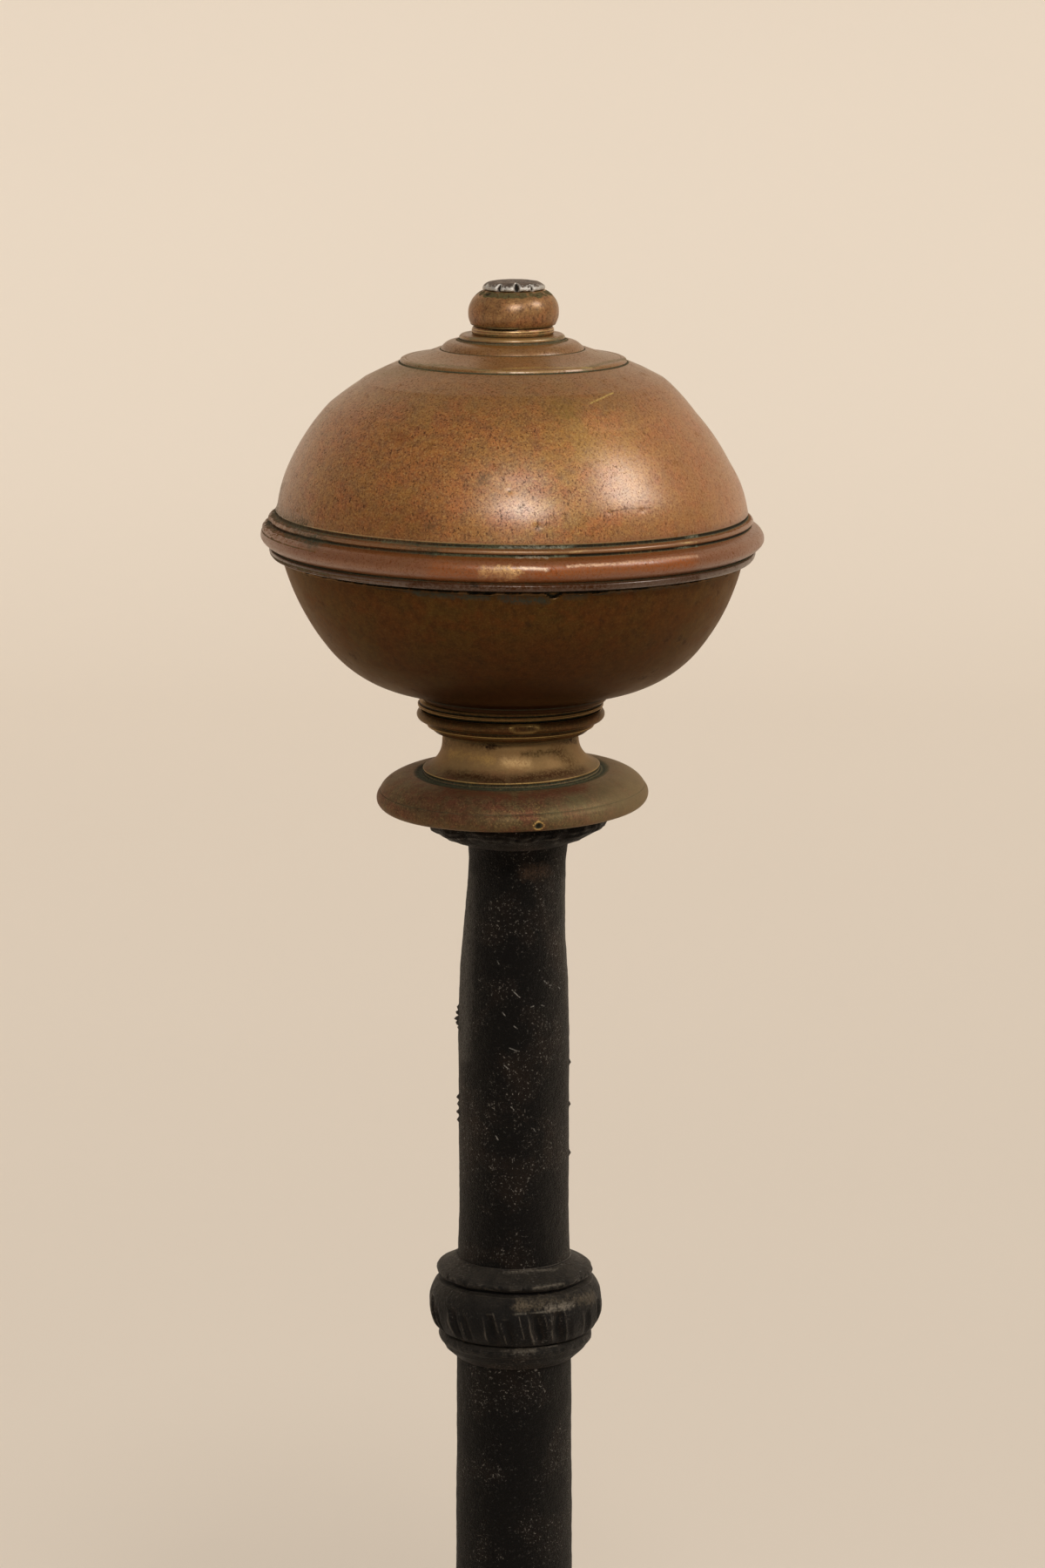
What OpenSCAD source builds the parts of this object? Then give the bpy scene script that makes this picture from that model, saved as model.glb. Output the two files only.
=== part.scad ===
// Hearth andiron: a two-part brass ball on a knopped iron column, with two scrolled front
// legs and a log bar that steps down behind the column and turns down to a rear foot.
// The column is a stack of bored pieces on one tie rod, which is peened over at the top
// and drawn up by a square nut under the log bar. The origin is on the hearth, under the
// middle of the whole footprint. +Z is up, and the front faces -Y.

/* [Overall] */
// Height from the hearth to the top of the peened rod
total_h = 570; // [555:5:620]
// Distance from the column's axis back to the rear edge of the rear foot
bar_reach = 372; // [330:2:420]

/* [Brass ball] */
// Diameter over the belt of the ball
belt_d = 114.6; // [110:0.2:120]
// Height of the upper shell, from its seam to the seat of the button
dome_h = 50.1; // [47:0.1:53]
// Height of the lower shell, from its seam to the neck ring
bowl_h = 33.5; // [32:0.1:36]
// Thickness of the cast brass shells
ball_wall = 3.2; // [2.4:0.1:3.8]

/* [Brass trim] */
// Height of the button under the peened head
button_h = 10; // [9.6:0.1:11]
// Height of the turned ring under the ball
neck_ring_h = 7.6; // [7:0.1:9]
// Height of the flange with its hollow neck
flange_h = 17.6; // [17:0.1:20]
// Diameter of the flange
flange_d = 62.6; // [60:0.2:66]

/* [Iron column] */
// Thickness of the iron plate that carries the flange
plate_t = 6.9; // [5:0.1:8]
// Diameter of that plate
plate_d = 40; // [37:0.5:42]
// Length of the upper shaft that shows between the plate and the knop
upper_shaft_h = 99.8; // [90:0.2:110]
// Height of the knop halfway up the column
knop_h = 24; // [21:0.5:27]
// Height of the larger knop at the column's foot
foot_knop_h = 26; // [23:0.5:30]
// Number of chiselled cuts round each knop
cuts = 24; // [18:1:30]

/* [Base] */
// Width of the base block, side to side
block_w = 36; // [34:1:40]
// Depth of the base block, front to back
block_d = 34; // [32:1:38]
// Height of the base block
block_h = 36; // [34:1:40]
// Width of each leg, front to back
leg_w = 28; // [27:0.5:30]
// Thickness of a leg where it is riveted to the block
leg_t = 11; // [10:0.5:12]

/* [Log bar] */
// Side of the square bar
bar_s = 19; // [17:0.5:21]
// Height of the bar's top where the base block stands on it
seat_z = 119; // [116:1:124]
// Drop of the bar behind the column, which keeps the logs off the column
bar_step = 16; // [10:1:20]
// Diameter of the rear foot
rear_foot_d = 34; // [30:1:40]
// Thickness of the rear foot
rear_foot_t = 6; // [5:0.5:8]

/* [Tie rod] */
// Diameter of the tie rod
rod_d = 9.5; // [9:0.1:10]
// Diameter of the hole through every piece on the rod
bore_d = 10.2; // [10.1:0.1:10.4]
// Diameter of the peened head
head_d = 14.2; // [13:0.2:16]
// Height of the peened head
head_h = 2.2; // [1.8:0.1:3]
// Side of the square nut
nut_s = 19; // [17:1:20]
// Thickness of the square nut
nut_t = 9; // [8:0.5:11]
// Side of the square washer
washer_s = 30; // [27:1:32]
// Thickness of the square washer
washer_t = 3; // [2:0.5:4]

/* [Hidden] */

brass = "#9a6a35";
worn_brass = "#a97c42";
iron = "#26211d";
bare_iron = "#8b8681";

$fn = 96;
bore_r = bore_d / 2;
belt_r = belt_d / 2;
register = 1.5;             // depth that a shaft's end sinks into a knop
shaft_top_r = 11.3;         // waist just under the plate
shaft_r = 12.9;             // body of the upper shaft
lower_shaft_r = 13.4;
lower_shaft_foot_r = 14.6;
knop_r = 20.3;
foot_knop_r = 23.4;
block_cap_h = 5;

// Heights of the joints in the stack, from the top of the rod downwards
z_head = total_h - head_h;
z_button = z_head - button_h;
z_seam = z_button - dome_h;
z_bowl = z_seam - bowl_h;
z_neck_ring = z_bowl - neck_ring_h;
z_flange = z_neck_ring - flange_h;
z_plate = z_flange - plate_t;
z_upper_shaft = z_plate - upper_shaft_h;
z_knop = z_upper_shaft - knop_h;

// Heights of the joints from the log bar upwards, and of the fixing under it
z_block_cap = seat_z + block_h;
z_foot_knop = z_block_cap + block_cap_h;
z_lower_shaft = z_foot_knop + foot_knop_h;
z_washer = seat_z - bar_s - washer_t;
z_nut = z_washer - nut_t;
z_rod_end = z_nut - 5;

// The column stands in front of the origin, which is under the middle of the footprint
column_y = -(bar_reach - belt_r) / 2;

// The two rivets through both legs and the block pass in front of the tie rod and behind it
rivet_r = 2.8;
rivet_y = 9;
rivet_z = seat_z + block_h * 0.55;
rivet_fit = 0.05;

// ---------- Outlines ----------

// Points of an ellipse about c with half-axes s, from one angle to another
function ellipse(c, s, from, to, n = 8) =
    [for (i = [0:n]) let (a = from + (to - from) * i / n) [c[0] + s[0] * cos(a), c[1] + s[1] * sin(a)]];

function arc(c, r, from, to, n = 8) = ellipse(c, [r, r], from, to, n);

// A rectangle about the origin with its corners cut off
function cut_square(w, d, cut) =
    [[w / 2 - cut, d / 2], [cut - w / 2, d / 2], [-w / 2, d / 2 - cut], [-w / 2, cut - d / 2],
     [cut - w / 2, -d / 2], [w / 2 - cut, -d / 2], [w / 2, cut - d / 2], [w / 2, d / 2 - cut]];

// A bent bar is a list of runs, [length, turn in degrees], each of one curvature.
// run_start() is the distance along the bar at which run i starts.
function run_start(runs, i) = i == 0 ? 0 : run_start(runs, i - 1) + runs[i - 1][0];

function bar_length(runs) = run_start(runs, len(runs));

// Point and heading [x, z, degrees] after walking a distance along the runs from start
function walk(start, runs, distance, i = 0) =
    i >= len(runs) || distance <= 0 ? start
    : let (part = min(distance, runs[i][0]),
           turn = runs[i][1] * part / runs[i][0],
           half = turn / 2,
           chord = abs(turn) < 0.01 ? part : part * sin(half) / (half * PI / 180),
           next = [start[0] + chord * cos(start[2] + half),
                   start[1] + chord * sin(start[2] + half),
                   start[2] + turn])
      walk(next, runs, distance - runs[i][0], i + 1);

// Distances along the runs, at least one for every step degrees of turn
function stations(runs, step = 12) =
    concat([0], [for (i = [0:len(runs) - 1])
                     let (n = max(1, ceil(abs(runs[i][1]) / step)))
                     for (j = [1:n]) run_start(runs, i) + runs[i][0] * j / n]);

// One side of the bar: half its thickness to the left (side 1) or the right (side -1).
// thick is a list of [distance, thickness].
function bar_edge(start, runs, thick, side) =
    [for (d = stations(runs))
        let (p = walk(start, runs, d), t = side * lookup(d, thick) / 2)
        [p[0] - t * sin(p[2]), p[1] + t * cos(p[2])]];

function reversed(v) = [for (i = [len(v) - 1:-1:0]) v[i]];

function bar_outline(start, runs, thick) =
    concat(bar_edge(start, runs, thick, 1), reversed(bar_edge(start, runs, thick, -1)));

// A turned piece from its outline of [radius, height] points, at a height on the column
module turned(outline, z) {
    translate([0, column_y, z]) rotate_extrude() polygon(outline);
}

// The hole for the tie rod, through everything between two heights
module rod_hole(z_low, z_high) {
    translate([0, column_y, z_low - 1]) cylinder(r = bore_r, h = z_high - z_low + 2);
}

// ---------- Tie rod, washer and nut ----------

// The rod's hammered head is a low dome with a thin edge and a flat top
module tie_rod() {
    edge = 0.4;
    bevel = 4.2;
    color(bare_iron) {
        translate([0, column_y, z_rod_end]) cylinder(d = rod_d, h = z_head - z_rod_end);
        turned(concat([[0, 0], [head_d / 2 - 0.3, 0]],
                      ellipse([head_d / 2 - bevel, edge], [bevel, head_h - edge], 0, 90),
                      [[0, head_h]]), z_head);
    }
}

module tie_washer() {
    color(iron) difference() {
        translate([0, column_y, z_washer])
            linear_extrude(washer_t) polygon(cut_square(washer_s, washer_s, 1));
        rod_hole(z_washer, z_washer + washer_t);
    }
}

// A square nut with its lower corners turned off
module tie_nut() {
    corner_r = nut_s * 0.66;
    color(iron) difference() {
        intersection() {
            translate([0, column_y, z_nut]) linear_extrude(nut_t) polygon(cut_square(nut_s, nut_s, 0.8));
            turned([[0, 0], [corner_r - 2, 0], [corner_r, 2], [corner_r, nut_t], [0, nut_t]], z_nut);
        }
        rod_hole(z_nut, z_nut + nut_t);
    }
}

// ---------- Brass ball and trim ----------

// A bun on a low collar. The rod's head is hammered down onto its top.
module finial_button() {
    bun = ellipse([4.6, button_h - 5.4], [5.8, 5.85], -27, 67, 14);
    collar = [[bore_r, 0], [9.5, 0], [9.5, 1.3], [9.1, 1.6]];
    color(worn_brass) turned(concat(collar, bun, [[bore_r, button_h]]), z_button);
}

// The dome, with a stepped cap at its top and the belt round its lower edge
module ball_upper_shell() {
    dome_z = 0.8;                     // height of the dome's widest circle over the seam
    dome_a = belt_r - 2.7;
    dome_b = dome_h + 0.1;
    boss_z = dome_h - 10;             // underside of the solid top
    rim_r = belt_r - 6.7;             // inside of the rim that takes the bowl's spigot
    rim_h = 3;
    inner_a = dome_a - ball_wall;
    inner_b = dome_b - ball_wall;
    cap_ring = [[11.6, dome_h], [12, dome_h - 0.5], [12, dome_h - 0.9], [12.7, dome_h - 1.1]];
    cap_shoulder = arc([13.2, dome_h - 4.6], 3.5, 80, 25, 4);
    cap_flare = arc([31.3, dome_h + 32.5], 38.5, 248.5, 259.5, 4);
    cap_edge = [[25.3, dome_h - 5.5], [25.6, dome_h - 5.8], [25.6, dome_h - 6.2]];
    apron = [[27.2, dome_h - 6.8], [29.4, dome_h - 7.8], [31.8, dome_h - 8.8]];
    dome = ellipse([0, dome_z], [dome_a, dome_b], 51, 10, 14);
    cove = [[belt_r - 3.75, 9.1], [belt_r - 3.3, 8.6]];
    fillet = [[belt_r - 2.3, 8.2], [belt_r - 2, 7.8], [belt_r - 2.2, 7.4], [belt_r - 2.7, 7.1]];
    bead = ellipse([belt_r - 2.5, 4.2], [2.5, 2.6], 75, -75, 12);
    lip = [[belt_r - 2.5, 1.4], [belt_r - 1.9, 1.1], [belt_r - 1.8, 0.3], [belt_r - 2.2, 0]];
    rim = [[rim_r, 0], [rim_r, rim_h]];
    inside = ellipse([0, dome_z], [inner_a, inner_b], 3, asin((boss_z - dome_z) / inner_b), 14);
    color(brass) difference() {
        turned(concat([[0, dome_h]], cap_ring, cap_shoulder, cap_flare, cap_edge, apron, dome, cove, fillet,
                      bead, lip, rim, inside, [[0, boss_z]]), z_seam);
        rod_hole(z_seam + boss_z, z_seam + dome_h);
    }
}

// The bowl is drawn in more sharply at the bottom. A spigot locates it inside the dome's rim.
module ball_lower_shell() {
    edge_r = belt_r - 4.8;
    neck_r = 21;
    spigot_r = belt_r - 6.8;
    spigot_wall = 2.9;
    spigot_h = 3;
    floor_t = 4.5;
    inner_z = 4.4;
    inner_a = belt_r - 4.3 - ball_wall;
    inner_b = bowl_h + 6.2 - ball_wall;
    under = ellipse([22, 1.4], [28.3, bowl_h - 1.1], -86, -44, 10);
    side = ellipse([0, 11.3], [belt_r - 3.4, bowl_h + 19], -37.5, -14, 10);
    spigot = [[spigot_r, 0], [spigot_r, spigot_h], [spigot_r - spigot_wall, spigot_h],
              [spigot_r - spigot_wall, 0]];
    inside = ellipse([0, inner_z], [inner_a, inner_b], -19, asin((floor_t - bowl_h - inner_z) / inner_b), 12);
    color(brass) difference() {
        turned(concat([[0, -bowl_h], [neck_r, -bowl_h], [neck_r, 1.5 - bowl_h]], under, side,
                      [[edge_r, -1], [edge_r, 0]], spigot, inside, [[0, floor_t - bowl_h]]), z_seam);
        rod_hole(z_bowl, z_bowl + floor_t);
    }
}

// A turned ring between the ball and the flange: a fillet, a groove, a bead and a small step
module neck_ring() {
    h = neck_ring_h;
    step = [[15.4, 0], [16.9, 0.4], [18.3, 1.3], [19.1, 1.8], [19.1, 2.7]];
    bead = ellipse([20, h - 3.4], [1.6, 1.35], -60, 58);
    fillet = [[19.8, h - 2.1], [19.8, h - 1.7], [20.7, h - 1.4], [21, h - 0.9], [21, h]];
    color(brass) turned(concat([[bore_r, 0]], step, bead, fillet, [[bore_r, h]]), z_neck_ring);
}

// A hollow neck that flares to a sharp edge, then a broad domed flange with a rolled rim
module brass_flange() {
    r = flange_d / 2;
    h = flange_h;
    web_t = 4;
    core_r = 12;
    relief = 0.2;                     // hollow of the underside, so that the plate bears inside
    neck = concat([[15.4, h]], ellipse([21.6, h - 1.6], [6.1, 6.3], 180, 255, 9));
    edge = [[20.4, h - 8.1], [20.5, h - 8.6], [20.9, h - 9.6], [21.9, h - 9.7]];
    skirt = ellipse([r - 9.5, 3.5], [9.4, 5], 78, 22);
    rim = ellipse([r - 2.3, 3.1], [2.3, 2.4], 50, -90, 10);
    seat = [[plate_d / 2 + 0.4, 0.7], [plate_d / 2 + 0.4, relief]];
    color(brass) difference() {
        turned(concat([[0, h]], neck, edge, skirt, rim, seat, [[0, relief]]), z_flange);
        // Cored out from below, under the web that the rod passes through
        turned([[0, -1], [core_r, -1], [core_r, h - 10], [core_r - 1.5, h - web_t], [0, h - web_t]],
               z_flange);
        // Lightened between the plate and the rim
        turned([[plate_d / 2 + 0.4, -1], [r - 3.5, -1], [r - 6, 2.2], [plate_d / 2 + 2.5, 2.2]], z_flange);
        rod_hole(z_flange, z_flange + h);
    }
}

// ---------- Iron column ----------

// The forged plate on top of the shaft, bevelled underneath
module cap_plate() {
    r = plate_d / 2;
    top = plate_t + 0.2;
    color(iron) turned([[bore_r, 0], [shaft_top_r + 4, 0], [r - 2.6, 0.9], [r - 1.1, 1.9], [r, 3.2],
                        [r, top - 0.7], [r - 0.7, top], [bore_r, top]], z_plate);
}

// The shaft narrows to a waist under the plate
module upper_shaft() {
    h = upper_shaft_h;
    end_r = shaft_r + 0.1;
    color(iron) turned([[bore_r, -register], [end_r, -register], [end_r, 0], [shaft_r - 0.1, h * 0.2],
                        [shaft_r, h * 0.56], [shaft_r - 0.45, h * 0.69], [shaft_r - 1, h * 0.79],
                        [shaft_top_r, h * 0.89], [shaft_top_r, h * 0.95], [shaft_top_r + 0.4, h],
                        [bore_r, h]], z_upper_shaft);
}

// The shaft swells a little towards the foot
module lower_shaft() {
    h = z_knop - z_lower_shaft;
    color(iron) turned([[bore_r, -register], [lower_shaft_foot_r, -register], [lower_shaft_foot_r, 0],
                        [lower_shaft_foot_r - 0.5, h * 0.25], [lower_shaft_r + 0.4, h * 0.62],
                        [lower_shaft_r, h], [lower_shaft_r, h + register], [bore_r, h + register]],
                       z_lower_shaft);
}

// A knop of three bands: a rounded ring, a wide band with slanting chiselled cuts, and a
// second ring. r is its greatest radius, and each end has a seat register deep.
module banded_knop(z, h, r, top_seat_r, bottom_seat_r) {
    ring_r = r - 2.4;
    cut_d = 1.5;
    cut_lean = 14;
    fit = 0.02;
    lower_ring = [[bottom_seat_r + 0.8, 0], [ring_r - 2.6, h * 0.045], [ring_r - 1.1, h * 0.09],
                  [ring_r - 0.2, h * 0.14], [ring_r, h * 0.19], [ring_r - 0.1, h * 0.235],
                  [ring_r - 0.5, h * 0.26]];
    band = concat([[ring_r + 0.1, h * 0.3]], ellipse([r - 1.6, h * 0.51], [1.6, h * 0.09], -60, 55, 6));
    shoulder = [[r - 1.6, h * 0.66], [r - 1.9, h * 0.74], [r - 2.2, h * 0.785], [r - 2.9, h * 0.8]];
    upper_ring = [[r - 2.9, h * 0.815], [r - 2.2, h * 0.83], [r - 2, h * 0.86], [r - 2.1, h * 0.885],
                  [r - 4.4, h * 0.947], [top_seat_r + 1.4, h * 0.985], [top_seat_r + 0.7, h]];
    difference() {
        turned(concat([[bore_r, 0]], lower_ring, band, shoulder, upper_ring, [[bore_r, h]]), z);
        translate([0, column_y, z + h - register]) cylinder(r = top_seat_r + fit, h = register + 1);
        translate([0, column_y, z - 1]) cylinder(r = bottom_seat_r + fit, h = register + 1);
        for (i = [0:cuts - 1])
            translate([0, column_y, z + h * 0.48]) rotate([0, 0, i * 360 / cuts]) translate([r + 0.3, 0, 0])
                rotate([cut_lean, 0, 0]) cylinder(d = cut_d, h = h * 0.38, center = true, $fn = 16);
    }
}

module knop() {
    color(iron) banded_knop(z_knop, knop_h, knop_r, shaft_r + 0.1, lower_shaft_r);
}

// The foot knop stands on the round boss of the block's cap
boss_r = 17;

module foot_knop() {
    color(iron) banded_knop(z_foot_knop, foot_knop_h, foot_knop_r, lower_shaft_foot_r, boss_r);
}

// ---------- Base block ----------

// A square plate with a bevelled top and a low boss that centres the knop
module block_cap() {
    w = block_w + 12;
    d = block_d + 14;
    edge_h = block_cap_h * 0.5;
    function side(l) = [[-l / 2, 0], [l / 2, 0], [l / 2, edge_h], [l / 2 - 2.5, block_cap_h],
                        [2.5 - l / 2, block_cap_h], [-l / 2, edge_h]];
    color(iron) difference() {
        union() {
            translate([0, column_y, z_block_cap]) intersection() {
                rotate([90, 0, 0]) linear_extrude(d, center = true) polygon(side(w));
                rotate([90, 0, 90]) linear_extrude(w, center = true) polygon(side(d));
            }
            translate([0, column_y, z_block_cap]) cylinder(r = boss_r, h = block_cap_h + register);
        }
        rod_hole(z_block_cap, z_foot_knop + register);
    }
}

// The forged block, drilled for the tie rod and across it for the leg rivets
module base_block() {
    color(iron) difference() {
        translate([0, column_y, seat_z]) linear_extrude(block_h) polygon(cut_square(block_w, block_d, 2));
        rod_hole(seat_z, z_block_cap);
        rivet_holes(block_w / 2 + 1);
    }
}

// ---------- Legs and their rivets ----------

// Holes across the block for both rivets, reaching a distance to each side of the middle
module rivet_holes(reach) {
    for (side = [-1, 1])
        translate([0, column_y + side * rivet_y, rivet_z]) rotate([0, 90, 0])
            cylinder(r = rivet_r + rivet_fit, h = 2 * reach, center = true);
}

// From the palm on the block's side, a leg sweeps outwards over a knee to the ankle, and
// rolls up into a scroll. It is walked downwards, and a left turn is positive.
leg_bend = [[30, 52], [26, -14], [30, -26], [32, 10], [36, 86], [21, 74], [16, 80], [13, 84], [8, 60]];
leg_taper = [[0, 0], [55, 1], [105, -0.5], [165, -2], [205, -3.5], [240, -5.5]];
leg_thick = [for (p = leg_taper) [p[0], leg_t + p[1]]];
leg_top = [block_w / 2 + leg_t / 2, z_block_cap - 1, -90];
foot_wear = 1.2;                      // depth of the flat worn under the scroll

// The palm takes up what is left of the height
bend_low = min([for (p = bar_outline(leg_top, leg_bend, leg_thick)) p[1]]);
leg_runs = concat([[bend_low + foot_wear, 0]], leg_bend);

module leg() {
    eye_r = 4;
    tip = walk(leg_top, leg_runs, bar_length(leg_runs));
    difference() {
        translate([0, column_y, 0]) rotate([90, 0, 0]) {
            linear_extrude(leg_w, center = true) polygon(bar_outline(leg_top, leg_runs, leg_thick));
            translate([tip[0], tip[1], 0]) cylinder(r = eye_r, h = leg_w, center = true);
        }
        rivet_holes(block_w / 2 + 2 * leg_t);
        translate([0, column_y - leg_w, -20]) cube([200, 2 * leg_w, 20]);
    }
}

module right_leg() {
    color(iron) leg();
}

module left_leg() {
    color(iron) mirror([1, 0, 0]) leg();
}

// Two rivets with a domed head at each end
module leg_rivets() {
    half = block_w / 2 + leg_t;
    head_r = 4.8;
    dome = ellipse([0, 0], [head_r, 2.6], 0, 90, 6);
    color(iron) for (front = [-1, 1])
        translate([0, column_y + front * rivet_y, rivet_z]) {
            rotate([0, 90, 0]) cylinder(r = rivet_r, h = 2 * half, center = true);
            for (side = [-1, 1])
                translate([side * half, 0, 0]) rotate([0, side * 90, 0])
                    rotate_extrude() polygon(concat([[0, 0]], dome));
        }
}

// ---------- Log bar and rear foot ----------

tenon_r = 4.6;
tenon_flare = 1.6;                    // how far the tenon's end is spread in the foot
flare_h = 2;
bar_front = column_y - block_d / 2 - 4;
foot_y = column_y + bar_reach - rear_foot_d / 2;

// Level under the block, two opposite bends for the step, level again, and down at the rear
step_turn = 40;
step_r = bar_step / 2 / (1 - cos(step_turn));
step_l = step_r * step_turn * PI / 180;
rear_r = 24;
front_l = block_d + 22;
rear_l = foot_y - bar_front - front_l - 2 * step_r * sin(step_turn) - rear_r;
bar_start = [bar_front, seat_z - bar_s / 2, 0];
bar_runs = [[front_l, 0], [step_l, -step_turn], [step_l, step_turn], [rear_l, 0], [rear_r * PI / 2, -90],
            [bar_start[1] - bar_step - rear_r - rear_foot_t, 0]];
bar_thick = [[0, bar_s], [bar_length(bar_runs) - 60, bar_s], [bar_length(bar_runs), bar_s - 3]];

module log_bar() {
    color(iron) difference() {
        union() {
            rotate([90, 0, 90]) linear_extrude(bar_s, center = true)
                polygon(bar_outline(bar_start, bar_runs, bar_thick));
            translate([0, foot_y, 0]) {
                cylinder(r = tenon_r, h = rear_foot_t + 1);
                cylinder(r1 = tenon_r + tenon_flare, r2 = tenon_r, h = flare_h);
            }
        }
        rod_hole(seat_z - bar_s, seat_z);
    }
}

// A round pad with a rounded upper edge. The bar's tenon is spread in it and dressed flush.
module rear_foot() {
    r = rear_foot_d / 2;
    hole_r = tenon_r + rivet_fit;
    color(iron) translate([0, foot_y, 0]) rotate_extrude()
        polygon(concat([[hole_r + tenon_flare, 0], [r - 0.5, 0], [r, 0.5]],
                       arc([r - 2.5, rear_foot_t - 2.5], 2.5, 0, 90, 6),
                       [[hole_r, rear_foot_t], [hole_r, flare_h]]));
}

tie_rod();
finial_button();
ball_upper_shell();
ball_lower_shell();
neck_ring();
brass_flange();
cap_plate();
upper_shaft();
knop();
lower_shaft();
foot_knop();
block_cap();
base_block();
left_leg();
right_leg();
leg_rivets();
log_bar();
rear_foot();
tie_washer();
tie_nut();
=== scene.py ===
import math

import bmesh
import bpy
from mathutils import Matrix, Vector, noise


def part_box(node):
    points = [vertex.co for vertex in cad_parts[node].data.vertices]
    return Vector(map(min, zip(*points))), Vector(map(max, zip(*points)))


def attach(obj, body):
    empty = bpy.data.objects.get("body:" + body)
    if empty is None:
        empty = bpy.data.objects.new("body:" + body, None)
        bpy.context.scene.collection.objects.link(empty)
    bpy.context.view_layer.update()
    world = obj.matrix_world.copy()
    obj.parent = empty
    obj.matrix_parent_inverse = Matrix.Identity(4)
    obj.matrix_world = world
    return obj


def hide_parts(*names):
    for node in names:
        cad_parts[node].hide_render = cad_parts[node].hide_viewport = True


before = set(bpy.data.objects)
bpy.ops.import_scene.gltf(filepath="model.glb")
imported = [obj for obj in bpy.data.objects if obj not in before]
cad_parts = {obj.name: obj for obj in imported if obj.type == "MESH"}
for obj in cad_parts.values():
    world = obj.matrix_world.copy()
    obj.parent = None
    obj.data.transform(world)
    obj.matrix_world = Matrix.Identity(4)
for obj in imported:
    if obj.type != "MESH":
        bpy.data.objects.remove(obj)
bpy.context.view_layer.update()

# ---------- Point of view ----------
# The andiron is seen from 25 degrees round to its right and from a little above the ball.
# The picture is 1200 pixels wide and 1800 high, and it ends above the lower shaft's middle.
MM = 0.001
PICTURE_W = 1200
PICTURE_H = 1800
FOCAL_PX = 5800                        # focal length in pixels of the picture
VIEW_TURN = math.radians(25)
VIEW_DROP = math.radians(11.2)
VIEW_REACH = 1160.5 * MM               # from the lens to the post's axis
VIEW_HEIGHT = 454.2 * MM               # height on the axis at the middle of the picture
AXIS_PX = 590                          # column of pixels that the axis falls on

shaft_low, shaft_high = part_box("upper_shaft")
post = Vector(((shaft_low.x + shaft_high.x) / 2, (shaft_low.y + shaft_high.y) / 2, 0))
front = Vector((math.sin(VIEW_TURN), -math.cos(VIEW_TURN), 0))
right = Vector((math.cos(VIEW_TURN), math.sin(VIEW_TURN), 0))
up = Vector((0, 0, 1))
to_lens = front * math.cos(VIEW_DROP) + up * math.sin(VIEW_DROP)
lens = post + up * VIEW_HEIGHT + to_lens * VIEW_REACH
lens += right * (PICTURE_W / 2 - AXIS_PX) / FOCAL_PX * VIEW_REACH

camera = bpy.data.objects.new("camera", bpy.data.cameras.new("camera"))
camera.location = lens
camera.rotation_mode = "QUATERNION"
camera.rotation_quaternion = (-to_lens).to_track_quat("-Z", "Y")
camera.data.sensor_width = 36
camera.data.lens = 36 * FOCAL_PX / PICTURE_H
camera.data.clip_start = 0.05
camera.data.clip_end = 50
bpy.context.scene.collection.objects.link(camera)
bpy.context.scene.camera = camera


def seen_at(px, py, radius):
    """Bearing and height (mm) of the point seen at a pixel, on a round of that radius (mm).
    A bearing is 0 where the round faces the camera, and grows to the right."""
    ray = right * (px - PICTURE_W / 2) + to_lens.cross(right) * (PICTURE_H / 2 - py) - to_lens * FOCAL_PX
    out = lens - post
    a = ray.xy.length_squared
    b = ray.xy.dot(out.xy)
    c = out.xy.length_squared - (radius * MM) ** 2
    reach = (-b - math.sqrt(max(0, b * b - a * c))) / a
    hit = out + ray * reach
    return math.atan2(hit.dot(right), hit.dot(front)), hit.z / MM


def on_round(px, py, radius):
    """The point in space that is seen at a pixel, on a round of that radius (mm)."""
    bearing, z = seen_at(px, py, radius)
    return post + (front * math.cos(bearing) + right * math.sin(bearing)) * radius * MM + up * z * MM


# ---------- Log bar ----------
# A square wrought bar. It lies level under the block, steps down behind the column, runs back
# level for the logs and turns down at the rear, where its end is drawn to a round tenon.
bar_low, bar_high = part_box("log_bar")
foot_low, foot_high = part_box("rear_foot")
block_low, block_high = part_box("base_block")
BAR_SIDE = (bar_high.x - bar_low.x) / MM
BAR_STEP = 16
BAR_STEP_TURN = 40
BAR_REAR_BEND = 24                     # radius of the bend at the rear
BAR_CORNER = 2.4                       # rounding of the worn corners
TENON_R = 4.6
TENON_SPREAD = 6.2                     # radius of the tenon's end, spread in the foot
SECTION_STEPS = 9                      # points along each flat of a forged section


def forged_run(start, runs, step):
    """Stations [place along, height, heading, distance] down a bar bent in runs of [length, turn]."""
    along, height, heading, distance = start[0], start[1], math.radians(start[2]), 0
    stations = [(along, height, heading, distance)]
    for length, turn in runs:
        pieces = max(1, round(length / step))
        part = length / pieces
        bend = math.radians(turn) / pieces
        for i in range(pieces):
            chord = part if abs(bend) < 1e-6 else 2 * part / bend * math.sin(bend / 2)
            along += chord * math.cos(heading + bend / 2)
            height += chord * math.sin(heading + bend / 2)
            heading += bend
            distance += part
            stations.append((along, height, heading, distance))
    return stations


def section(side, thick, corner):
    """Points round a section of forged bar, side by thick across, with rounded corners."""
    corners = []
    for quarter in range(4):
        middle = Vector(((side / 2 - corner) * (1, -1, -1, 1)[quarter],
                         (thick / 2 - corner) * (1, 1, -1, -1)[quarter]))
        turns = [math.radians(90 * quarter + 18 * i) for i in range(6)]
        corners.append([middle + corner * Vector((math.cos(t), math.sin(t))) for t in turns])
    points = []
    for here, following in zip(corners, corners[1:] + corners[:1]):
        points += here
        points += [here[-1].lerp(following[0], i / SECTION_STEPS) for i in range(1, SECTION_STEPS)]
    return points


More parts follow.
